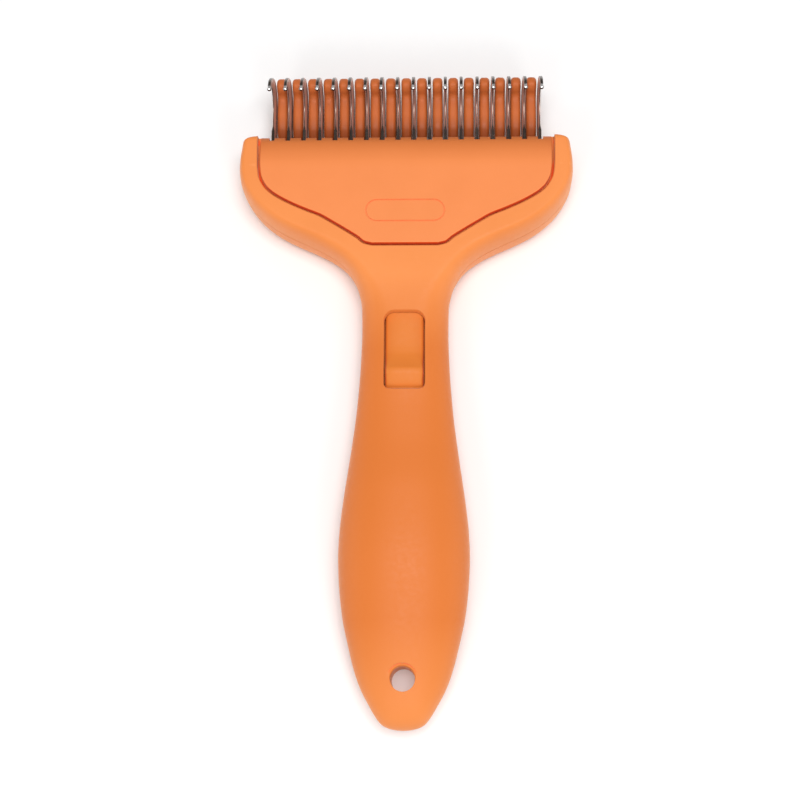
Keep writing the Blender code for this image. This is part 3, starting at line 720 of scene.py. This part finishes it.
def channel_mesh():
    """The groove under the neck's face that the thumb slider runs in."""
    half = SLIDER_HALF + CHANNEL_GAP
    rows = [SLIDER_Y[0] - 1, SLIDER_Y[1] + TRAVEL + 1]
    places = [half * (1 - k / 8) for k in range(17)]
    return loft("slider_channel", rows, lambda y: places, lambda x, y: neck_arch(x, LIP),
                lambda y: SPLIT_Z + 1)


def window_mesh():
    """The slot over the thumb slider, its edge rounded over."""
    rim = neck_arch(WINDOW_HALF, 0)
    levels = [(0, SPLIT_Z + 2), (0, rim - 0.15), (0.22, rim + 0.25), (0.9, HEAD_FACE + 1.2)]
    return upright("window", window_outline(), levels)


def front_posts():
    """The posts in the front shell, and then the pilot holes of the screws in them."""
    seam = SPLIT_Z + SPLIT_GAP / 2
    steps = []
    for x, y in SCREWS:
        steps.append(("UNION", post_mesh("boss", x, y, BOSS_RADIUS, front_under(y), seam)))
    bore = SCREW_SHANK + GAP
    end = SCREW_END + PILOT_SPARE
    foot = SPLIT_Z - 1
    for x, y in SCREWS:
        steps.append(("DIFFERENCE", post_mesh("pilot", x, y, bore, end, foot, segments=24)))
    return steps


def seam_ring():
    """A groove round the cover, deeper than the seat that the cover lies in."""
    ring = upright("seam_ring", panel_outline(), [(SEAM, SEAM_FLOOR), (SEAM, HEAD_FACE)])
    levels = [(SEAT_GAP, SEAM_FLOOR - 1), (SEAT_GAP, HEAD_FACE + 1)]
    return carved("seam_ring", ring, [("DIFFERENCE", upright("core", panel_outline(), levels))])


def cover_seat():
    """What the front shell loses to the cover: its seat, the seam and the opening under it."""
    outline = panel_outline()
    edge = HEAD_FACE - SEAT_EDGE
    seat = [(SEAM, PANEL_SEAT), (SEAM, edge), (SEAM + SEAT_FLARE, edge + SEAT_FLARE)]
    top_end = [p for p in outline if p[1] > SEAT_END_START]
    past = HEAD_FACE + 2
    return [
        ("DIFFERENCE", upright("seat", outline, seat)),
        ("DIFFERENCE", seam_ring()),
        ("DIFFERENCE", upright("seat_end", top_end, [(SEAM, SEAM_FLOOR), (SEAM, past)])),
        ("DIFFERENCE", upright("opening", outline, [(-PANEL_LEDGE, 5), (-PANEL_LEDGE, past)])),
    ]


def mouth_mesh(floor):
    """The opening at the head's top that the blades come out of."""
    return box_mesh("mouth", (-MOUTH_HALF, MOUTH_START, floor), (MOUTH_HALF, HEAD_TOP + 2, 14))


def make_front_shell(paint):
    """The front half of the handle and head."""
    steps = [("DIFFERENCE", cavity_solid("cavity", FRONT, 1, HEAD_CEILING))]
    steps += front_posts()
    steps += [("DIFFERENCE", mouth_mesh(5))]
    steps += cover_seat()
    steps += [
        ("DIFFERENCE", hole_cutter()),
        ("DIFFERENCE", channel_mesh()),
        ("DIFFERENCE", window_mesh()),
    ]
    mesh = carved("front_shell_skin", shell_solid("front_shell_skin", FRONT, 1), steps)
    piece("front_shell_skin", mesh, paint, "front_shell", "handle")


def bore_profile(back, top):
    """A screw's hole from the back: a bevelled counterbore down to a narrow bore."""
    wide = SCREW_HEAD[0] + GAP
    narrow = SCREW_SHANK + GAP
    seat = back + SCREW_SEAT
    bevel = (wide, back + 0.25)
    rim = (wide + 0.3, back - 0.05)
    foot = back - 2
    return [(0, top + 1), (narrow, top + 1), (narrow, seat), (wide, seat), bevel, rim,
            (rim[0], foot), (0, foot)]


def make_rear_shell(paint):
    """The back half of the handle and head."""
    top = SPLIT_Z - SPLIT_GAP / 2
    radius = BOSS_RADIUS + 0.4
    steps = [("DIFFERENCE", cavity_solid("cavity", BACK, -1))]
    for x, y in SCREWS:
        foot = face_height(BACK, y) + 1
        steps.append(("UNION", post_mesh("boss", x, y, radius, top, foot)))
    for x, y in SCREWS:
        bore = bore_profile(face_height(BACK, y), top)
        steps.append(("DIFFERENCE", turned_mesh("bore", x, y, bore, 40)))
    steps += [("DIFFERENCE", mouth_mesh(WALL + 0.1)), ("DIFFERENCE", hole_cutter())]
    mesh = carved("rear_shell_skin", shell_solid("rear_shell_skin", BACK, -1), steps)
    piece("rear_shell_skin", mesh, paint, "rear_shell", "handle")


def round_drop(depth, radius):
    """How far a rounded edge falls at a place some depth in from it."""
    inside = min(max(radius - depth, 0.0), radius)
    return radius - math.sqrt(radius**2 - inside**2)


def panel_lean(y):
    """How much longer the cover's edge is than its run along the tool."""
    step = 0.1
    slope = (curve(PANEL, y + step) - curve(PANEL, y - step)) / (2 * step)
    return math.sqrt(1 + slope**2)


def cover_columns(y):
    """Places across the cover, closer together on its rounded edges."""
    spread = min(panel_lean(y), 6)
    side = [curve(PANEL, y) - s * spread for s in COVER_EDGE]
    return mirrored(side + [side[-1] * (1 - k / 26) for k in range(1, 26)])


def cover_top(x, y):
    """The cover's face, with rounded edges and a rim that rolls down."""
    depth = min((curve(PANEL, y) - abs(x)) / panel_lean(y), y - PANEL[0][0])
    rim = RIM_FALL * round_drop(HEAD_TOP - y, RIM_ROUND) / RIM_ROUND
    return curve(PANEL_FACE, y) - round_drop(depth, PANEL_ROUND) - rim


def label_groove():
    """The fine groove round the label."""
    floor = HEAD_FACE - LABEL_DEPTH
    top = HEAD_FACE + 2
    groove = upright("groove", pill_outline(), [(0, floor), (0, top)])
    levels = [(-LABEL_GROOVE, floor - 1), (-LABEL_GROOVE, top + 1)]
    return carved("groove", groove, [("DIFFERENCE", upright("core", pill_outline(), levels))])


def make_head_cover(paint):
    """The inlaid cover, with a notch for each blade in its rim."""
    near_top = [HEAD_TOP - s for s in (2.6, 2.2, 1.8, 1.4, 1.0, 0.7, 0.45, 0.25, 0.12, 0.04)]
    rows = sorted(set(panel_rows() + near_top))
    mesh = loft("head_cover_skin", rows, cover_columns, cover_top, lambda y: curve(PANEL_BACK, y))
    notches = blade_slots("notches", (HEAD_TOP - NOTCH, 10), (HEAD_TOP + 2, 20))
    mesh = carved("head_cover_skin", mesh, [
        ("DIFFERENCE", notches),
        ("DIFFERENCE", label_groove()),
    ])
    piece("head_cover_skin", mesh, paint, "head_cover", "handle")


def rounded_levels(half, radius, steps):
    """Levels across a plate whose edges are rounded over."""
    turns = [math.pi / 2 * k / steps for k in range(steps + 1)]
    right = [(-radius * (1 - math.cos(a)), half - radius + radius * math.sin(a)) for a in turns]
    return [(g, -x) for g, x in reversed(right)] + right


def finger_outline():
    """A finger seen from the side, no longer than the comb."""
    end = (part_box("guard_comb")[1][1] - BUTT) / MM
    line = [(min(y, end), z) for y, z in smooth_line(FINGER[1:-1], 5)]
    return [FINGER[0]] + line + [FINGER[-1]]


def make_guard_comb(paint):
    """The bar across the head's mouth, with ears at its ends and a finger in each gap."""
    bar = box_mesh("bar", (-COMB_HALF, COMB_BAR[0], COMB_Z[0]), (COMB_HALF, COMB_BAR[1], COMB_Z[1]))
    steps = []
    for low, high in (COMB_LEG, COMB_EAR):
        for flip in (-1, 1):
            x = sorted((flip * low[0], flip * high[0]))
            steps.append(("UNION", box_mesh("ear", (x[0], *low[1:]), (x[1], *high[1:]))))
    slots = blade_slots("slots", (COMB_BAR[0] - 1, BLADE_STEM[0] - 0.5), (COMB_BAR[1] + 1, 20))
    steps.append(("DIFFERENCE", slots))
    outline = finger_outline()
    levels = rounded_levels(FINGER_HALF, FINGER_ROUND, 6)
    x = blade_places()
    fingers = [sideways("finger", outline, levels, (a + b) / 2) for a, b in zip(x, x[1:])]
    steps.append(("UNION", join_meshes("fingers", fingers)))
    mesh = carved("guard_comb_skin", bar, steps)
    piece("guard_comb_skin", mesh, paint, "guard_comb", "handle", sharp=40)


def hook_grinding(hook):
    """How far each point of the hook's inner edge is ground, from 0 to 1."""
    ground = []
    for i, (y, _) in enumerate(hook):
        share = min(max((y - GROUND[0]) / (GROUND[1] - GROUND[0]), 0), 1)
        left = (len(hook) - 1 - i) / TIP_POINTS
        ground.append(max(share * min(left, 1.0), TIP_BEVEL * (1 - left)))
    return ground


def blade_outline():
    """A blade seen from the side, and how far each of its points is ground."""
    stem = [(BLADE_FOOT, BLADE_STEM[0]), (BLADE_FOOT, BLADE_STEM[1])]
    stem += [(y, BLADE_STEM[1]) for y in np.linspace(BLADE_FOOT + 4, BLADE_HOOK[0][0] - 1, 6)]
    hook = smooth_line(BLADE_HOOK, 7)
    tip = smooth_line((BLADE_HOOK[-1],) + BLADE_TIP, 4)[1:]
    back = smooth_line((BLADE_TIP[-1],) + BLADE_BACK, 5)[1:]
    ground = [0.0] * len(stem) + hook_grinding(hook) + [TIP_BEVEL] * len(tip) + [0.0] * len(back)
    return stem + hook + tip + back, np.array(ground)


def blade_mesh():
    """One blade around x = 0, its hook's inner edge ground to a narrow edge on both sides."""
    outline, ground = blade_outline()
    half = (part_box("blade_01")[1][0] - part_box("blade_01")[0][0]) / 2 / MM
    side = -(BLADE_BEVEL + (GROUND_DEPTH - BLADE_BEVEL) * ground)
    edge = half - BLADE_BEVEL - (half - BLADE_BEVEL - GROUND_EDGE) * ground
    levels = ((side, -half), (0, -edge), (0, edge), (side, half))
    mesh = sideways("blade_skin", outline, levels, 0)
    steps = [("DIFFERENCE", cross_tube("rod_hole", y, z, ROD_HOLE, 3)) for y, z in RODS]
    return carved("blade_skin", mesh, steps + [("UNION", ball_mesh("tip", 0, *TIP_BALL))])


def make_blades(paint):
    """Eighteen blades, each a copy of one mesh."""
    mesh = blade_mesh()
    for i, x in enumerate(blade_places()):
        number = f"{i + 1:02d}"
        made = piece(f"blade_skin_{number}", mesh.copy(), paint, f"blade_{number}", "blade_unit",
                     sharp=14)
        made.data.transform(Matrix.Translation((x * MM, 0, 0)))


def slider_height(x, y):
    """The slider's face: level with the channel, with a ridge for the thumb."""
    rise = 0.0
    if SLIDER_RIDGE[0][0] <= y <= SLIDER_RIDGE[-1][0]:
        rise = curve(SLIDER_RIDGE, y)
    drop = round_drop(SLIDER_HALF - abs(x), SLIDER_ROUND)
    fall = SLIDER_FALL * drop / SLIDER_ROUND
    return neck_arch(x, SLIDER_DEPTH) + rise - fall - min(rise, 1.0) * drop


def slider_face():
    """The slider's upper part, with close rows on its ridge and close columns at its edges."""
    start, end = SLIDER_RIDGE[0][0], SLIDER_RIDGE[-1][0]
    rows = list(np.linspace(SLIDER_Y[0], start - 0.4, 7)) + list(np.linspace(start, end, 48))
    rows += list(np.linspace(end + 1, SLIDER_Y[1], 9))
    side = [SLIDER_HALF - s for s in SLIDER_EDGE]
    places = mirrored(side + [SLIDER_FLAT * (1 - k / 6) for k in range(1, 6)])
    return loft("thumb_slider_skin", rows, lambda y: places, slider_height,
                lambda y: WING_Z[0] + 0.6)


def make_thumb_slider(paint):
    """The thumb slider, with wings under the neck's face, two legs and the spring's pocket."""
    low = (-WING_HALF, WING_Y[0], WING_Z[0])
    high = (WING_HALF, WING_Y[1], WING_Z[1])
    steps = [("UNION", box_mesh("wings", low, high))]
    wide = LEG_SIZE[0] / 2
    deep = LEG_SIZE[1] / 2
    for y in LEGS:
        leg = box_mesh("leg", (-wide, y - deep, LEG_END), (wide, y + deep, WING_Z[0] + 0.5))
        steps.append(("UNION", leg))
    pocket = post_mesh("pocket", 0, SPRING_Y, *SPRING_POCKET, WING_Z[0] - 1)
    steps.append(("DIFFERENCE", pocket))
    mesh = carved("thumb_slider_skin", slider_face(), steps)
    piece("thumb_slider_skin", mesh, paint, "thumb_slider", "thumb_button")


def cross_outline(x, y, reach, half):
    """A plus sign, from its right arm round."""
    points = []
    for quarter in range(4):
        angle = quarter * math.pi / 2
        across = math.cos(angle)
        along = math.sin(angle)
        points += [(x + a * across - b * along, y + a * along + b * across)
                   for a, b in ((reach, -half), (reach, half), (half, half))]
    return points


def screw_profile(seat):
    """A screw from its point down to its domed head."""
    radius, height = SCREW_HEAD
    dome = [(radius * math.cos(a), seat - height * 0.45 - height * 0.55 * math.sin(a))
            for a in [math.pi / 2 * k / 7 for k in range(8)]]
    dome[-1] = (0, dome[-1][1])
    return [(0, SCREW_END), (SCREW_SHANK * 0.5, SCREW_END), (SCREW_SHANK, SCREW_END - SCREW_POINT),
            (SCREW_SHANK, seat), (radius, seat)] + dome


def make_screws(paint):
    """The four screws, each with a cross recess in its head."""
    for i, (x, y) in enumerate(SCREWS):
        seat = face_height(BACK, y) + SCREW_SEAT - SCREW_PLAY
        tip = seat - SCREW_HEAD[1]
        levels = [(grow, tip + height) for grow, height in CROSS_LEVELS]
        screw = turned_mesh("screw", x, y, screw_profile(seat), 48)
        recess = upright("recess", cross_outline(x, y, *CROSS), levels)
        mesh = carved(f"shell_screw_skin_{i + 1}", screw, [("DIFFERENCE", recess)])
        piece(mesh.name, mesh, paint, f"shell_screw_{i + 1}", "handle", sharp=30)


class Surface:
    """A node material on one Principled shader, built up in steps."""

    def __init__(self, name, roughness, metallic=0.0):
        self.material = bpy.data.materials.new(name)
        self.material.use_nodes = True
        self.tree = self.material.node_tree
        self.shader = self.tree.nodes["Principled BSDF"]
        self.shader.inputs["Roughness"].default_value = roughness
        self.shader.inputs["Metallic"].default_value = metallic
        self.place = self.add("ShaderNodeTexCoord").outputs["Object"]
        self.height = None

    def add(self, kind, **values):
        """A new node with some of its settings."""
        node = self.tree.nodes.new(kind)
        for key, value in values.items():
            setattr(node, key, value)
        return node

    def link(self, source, target):
        """A link from an output to an input."""
        self.tree.links.new(source, target)

    def noise(self, scale, detail=2.0, roughness=0.5, stretch=(1, 1, 1)):
        """Noise over the object, which can be stretched along an axis."""
        place = self.place
        if stretch != (1, 1, 1):
            mapping = self.add("ShaderNodeMapping")
            mapping.inputs["Scale"].default_value = stretch
            self.link(self.place, mapping.inputs["Vector"])
            place = mapping.outputs["Vector"]
        node = self.add("ShaderNodeTexNoise")
        node.inputs["Scale"].default_value = scale
        node.inputs["Detail"].default_value = detail
        node.inputs["Roughness"].default_value = roughness
        self.link(place, node.inputs["Vector"])
        return node.outputs["Fac"]

    def spread(self, source, low, high, to_low=0.0, to_high=1.0):
        """A number between low and high, brought to a new range and held in it."""
        node = self.add("ShaderNodeMapRange")
        node.inputs["From Min"].default_value = low
        node.inputs["From Max"].default_value = high
        node.inputs["To Min"].default_value = to_low
        node.inputs["To Max"].default_value = to_high
        self.link(source, node.inputs["Value"])
        return node.outputs["Result"]

    def both(self, operation, first, second):
        """Two numbers added or multiplied."""
        node = self.add("ShaderNodeMath", operation=operation)
        self.link(first, node.inputs[0])
        self.link(second, node.inputs[1])
        return node.outputs[0]

    def part(self, vector, axis):
        """One axis of a vector."""
        split = self.add("ShaderNodeSeparateXYZ")
        self.link(vector, split.inputs["Vector"])
        return split.outputs[axis]

    def pointiness(self):
        """How sharply the surface turns: over a half outwards, under a half inwards."""
        return self.add("ShaderNodeNewGeometry").outputs["Pointiness"]

    def blend(self, first, second, factor):
        """A mix of two colours, each a tuple or an output."""
        node = self.add("ShaderNodeMix", data_type="RGBA")
        self.link(factor, node.inputs["Factor"])
        for value, target in ((first, node.inputs[6]), (second, node.inputs[7])):
            if isinstance(value, tuple):
                target.default_value = (*value, 1.0)
            else:
                self.link(value, target)
        return node.outputs[2]

    def bump(self, source, strength, distance):
        """Relief on top of what is there already."""
        node = self.add("ShaderNodeBump")
        node.inputs["Strength"].default_value = strength
        node.inputs["Distance"].default_value = distance
        self.link(source, node.inputs["Height"])
        if self.height is not None:
            self.link(self.height, node.inputs["Normal"])
        self.height = node.outputs["Normal"]
        self.link(self.height, self.shader.inputs["Normal"])

    def colour(self, output):
        """What gives the base colour."""
        self.link(output, self.shader.inputs["Base Color"])

    def roughness(self, output):
        """What gives the roughness."""
        self.link(output, self.shader.inputs["Roughness"])

    def facing(self, axis, low, high):
        """How much the surface faces along an axis, either way."""
        normal = self.part(self.add("ShaderNodeTexCoord").outputs["Normal"], axis)
        size = self.add("ShaderNodeMath", operation="ABSOLUTE")
        self.link(normal, size.inputs[0])
        return self.spread(size.outputs[0], low, high)

    def recess(self):
        """How much the surface is an inward corner, where the shell is painted darker and redder as
        shade.
        """
        return self.spread(self.pointiness(), 0.49, 0.44)

    def along(self, start, end):
        """0 at one place along the tool, and 1 from another on."""
        return self.spread(self.part(self.place, "Y"), BUTT + start * MM, BUTT + end * MM)

    def grip_shade(self):
        """1 along the part of the handle that is held, fading to 0 past both its ends: where the
        handle is painted darker as shade.
        """
        return self.both("MULTIPLY", self.along(*GRIP[:2]), self.along(*GRIP[2:]))

    def finger_root_shade(self):
        """How near the surface is to where the fingers leave the comb's bar, where the comb is
        painted darker as shade.
        """
        return self.along(*FINGER_ROOTS)

    def rim(self):
        """How near the surface is to the head's top, where the cover's rim is painted darker as
        shade.
        """
        return self.along(*RIM_SHADE)

    def shaded_walls(self):
        """1 where the surface stands upright, where the cover's and slider's walls are painted
        darker and redder as shade.
        """
        return self.facing("Z", 0.6, 0.2)

    def above(self, height):
        """1 over a height in the frame, 0 a little way under it."""
        return self.spread(self.part(self.place, "Z"), (height - 0.2) * MM, height * MM)

    def worn_edges(self, low, high):
        """How much an outward edge is rubbed: most where the surface turns sharply out."""
        edge = self.spread(self.pointiness(), low, high)
        patch = self.spread(self.noise(420, 4), 0.4, 0.65)
        return self.both("MULTIPLY", edge, patch)


def moulded_plastic(name, colour, deep, pale, grain=1.0, painted_shades=()):
    """Satin moulded plastic: fine grain, faint flow clouds, rubbed edges, and shade painted over
    the given parts.
    """
    made = Surface(name, roughness=0.52)
    clouds = made.spread(made.noise(55, detail=3), 0.3, 0.7)
    base = made.blend(deep, colour, clouds)
    # Each mask paints shade, as a tinted copy of the deeper colour.
    for tint, part in painted_shades:
        shaded = tuple(c * k for c, k in zip(deep, tint))
        base = made.blend(base, shaded, part(made))
    specks = made.spread(made.noise(5200, detail=2, roughness=0.7), 0.62, 0.8, 0.0, 0.22)
    base = made.blend(base, pale, specks)
    base = made.blend(base, pale, made.worn_edges(0.63, 0.74))
    made.colour(base)
    smears = made.noise(900, detail=5, roughness=0.6)
    made.roughness(made.spread(smears, 0.3, 0.7, 0.44, 0.6))
    made.bump(made.noise(260, detail=2), strength=0.10, distance=0.00006)
    fine_grain = made.noise(4200, detail=3, roughness=0.65)
    made.bump(fine_grain, strength=0.16 * grain, distance=0.00003)
    made.shader.inputs["Specular IOR Level"].default_value = 0.3
    made.shader.inputs["Sheen Weight"].default_value = 0.3
    made.shader.inputs["Sheen Roughness"].default_value = 0.35
    made.shader.inputs["Sheen Tint"].default_value = SHEEN_TINT
    return made.material


def ground_steel(name, edge, edge_dark, side, side_dark):
    """Stainless steel with brushed streaks: sides painted bright as reflected light, edges painted
    dark as shade, and a painted highlight on the hooks' tips.
    """
    made = Surface(name, roughness=0.26, metallic=1.0)
    lines = made.noise(1500, detail=5, roughness=0.7, stretch=(1, 0.06, 0.9))
    streaks = made.spread(lines, 0.3, 0.65)
    facing = made.facing("X", 0.8, 0.97)
    edges = made.blend(edge_dark, edge, streaks)
    sides = made.blend(side_dark, side, streaks)
    # The sides that face across the tool take the lit copy of the steel and the rest the shaded
    # copy: painted light and shade.
    base = made.blend(edges, sides, facing)
    # A painted highlight over the top of each hook's tip.
    made.colour(made.blend(base, TIP_HIGHLIGHT, made.above(TIP_HIGHLIGHT_START)))
    mottle = made.spread(made.noise(700, detail=4), 0.3, 0.7, 0.2, 0.3)
    made.roughness(made.both("ADD", mottle, made.spread(facing, 0.0, 1.0, 0.0, 0.25)))
    made.bump(lines, strength=0.10, distance=0.00002)
    return made.material


def drawn_steel(name, colour, dark, roughness, scale=1200):
    """Plain bright metal with slight mottling and fine scratches."""
    made = Surface(name, roughness, metallic=1.0)
    mottle = made.spread(made.noise(scale, detail=4, roughness=0.6), 0.3, 0.7)
    made.colour(made.blend(dark, colour, mottle))
    smears = made.noise(scale * 2, detail=3)
    made.roughness(made.spread(smears, 0.3, 0.7, roughness - 0.08, roughness + 0.1))
    made.bump(made.noise(scale * 3, detail=3), strength=0.12, distance=0.00002)
    return made.material


def matt_floor():
    """A pale, matt, very slightly uneven floor."""
    made = Surface("pale_floor", roughness=0.8)
    made.colour(made.blend((0.92, 0.92, 0.92), (0.94, 0.94, 0.94), made.noise(9, detail=3)))
    made.bump(made.noise(1200, detail=3), strength=0.04, distance=0.0001)
    return made.material


def carry_over(paints):
    """The hidden pieces keep their shapes and take finished materials."""
    for node, paint in paints.items():
        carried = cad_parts[node]
        carried.data.materials.clear()
        carried.data.materials.append(paint)


def make_floor():
    """A wide floor just under the tool."""
    bpy.ops.mesh.primitive_plane_add(size=FLOOR_SIZE, location=(0, 0, -FLOOR_DROP))
    floor = bpy.context.object
    floor.name = "floor"
    floor.data.materials.append(matt_floor())


def area_light(name, location, size, power):
    """A soft box that shines at the middle of the tool."""
    lamp = bpy.data.lights.new(name, "AREA")
    lamp.shape = "RECTANGLE"
    lamp.size, lamp.size_y = size
    lamp.energy = power
    made = in_scene(name, lamp)
    made.location = location
    made.rotation_euler = (-Vector(location)).to_track_quat("-Z", "Y").to_euler()


def make_lights():
    """An even light all round, a soft box overhead, two past the handle's end and two beside."""
    world = bpy.data.worlds.new("studio")
    world.use_nodes = True
    background = world.node_tree.nodes["Background"]
    background.inputs["Color"].default_value = (1, 1, 1, 1)
    background.inputs["Strength"].default_value = WORLD_LIGHT
    bpy.context.scene.world = world
    for box in SOFT_BOXES:
        area_light(*box)


def make_camera():
    """The camera, tipped back from straight above towards the handle's end."""
    flat = math.cos(CAMERA_SWING)
    away = Vector((math.sin(CAMERA_SWING), -math.sin(CAMERA_TILT) * flat,
                   math.cos(CAMERA_TILT) * flat))
    away.normalize()
    level_up = Vector((0, 1, 0))
    level_up = (level_up - away * level_up.dot(away)).normalized()
    level_right = level_up.cross(away)
    turn_cos = math.cos(CAMERA_ROLL)
    turn_sin = math.sin(CAMERA_ROLL)
    right = level_right * turn_cos + level_up * turn_sin
    up = level_up * turn_cos - level_right * turn_sin
    camera = in_scene("camera", bpy.data.cameras.new("camera"))
    camera.data.lens = CAMERA_LENS
    camera.data.clip_start = 0.01
    target = Vector(place(*CAMERA_TARGET))
    turned = Matrix((right, up, away)).transposed().to_4x4()
    camera.matrix_world = Matrix.Translation(target + away * CAMERA_DISTANCE) @ turned
    bpy.context.scene.camera = camera


def main():
    """The stage, the materials, and the pieces that wear them."""
    bpy.context.scene.view_settings.view_transform = "Standard"
    make_camera()
    make_lights()
    make_floor()
    # Where shade is painted on each plastic.
    shell_shades = ((GRIP_SHADE_TINT, Surface.grip_shade), (RECESS_SHADE_TINT, Surface.recess))
    shell = moulded_plastic("shell_plastic", *SHELL_ORANGE, painted_shades=shell_shades)
    cover_shades = ((RIM_SHADE_TINT, Surface.rim), (RECESS_SHADE_TINT, Surface.shaded_walls))
    cover = moulded_plastic("cover_plastic", *COVER_ORANGE, painted_shades=cover_shades)
    comb_shades = ((ROOT_SHADE_TINT, Surface.finger_root_shade),)
    comb = moulded_plastic("comb_plastic", *COMB_ORANGE, grain=0.7, painted_shades=comb_shades)
    slider_shades = ((RECESS_SHADE_TINT, Surface.shaded_walls),)
    slider = moulded_plastic("slider_plastic", *SLIDER_ORANGE, grain=1.3, painted_shades=slider_shades)
    make_front_shell(shell)
    make_rear_shell(shell)
    make_head_cover(cover)
    make_guard_comb(comb)
    make_blades(ground_steel("blade_steel", *SHADED_BLADE_EDGES, *LIT_BLADE_SIDES))
    make_thumb_slider(slider)
    make_screws(drawn_steel("zinc_plate", *ZINC, roughness=0.32))
    inner = moulded_plastic("inner_plastic", *INNER_CREAM)
    rod = drawn_steel("rod_steel", *ROD_STEEL, roughness=0.25)
    spring = drawn_steel("spring_steel", *SPRING_STEEL, roughness=0.3, scale=2500)
    carry_over({
        "blade_carriage": inner,
        "blade_rod_lower": rod,
        "blade_rod_upper": rod,
        "slider_spring": spring,
    })


main()
bpy.context.view_layer.update()
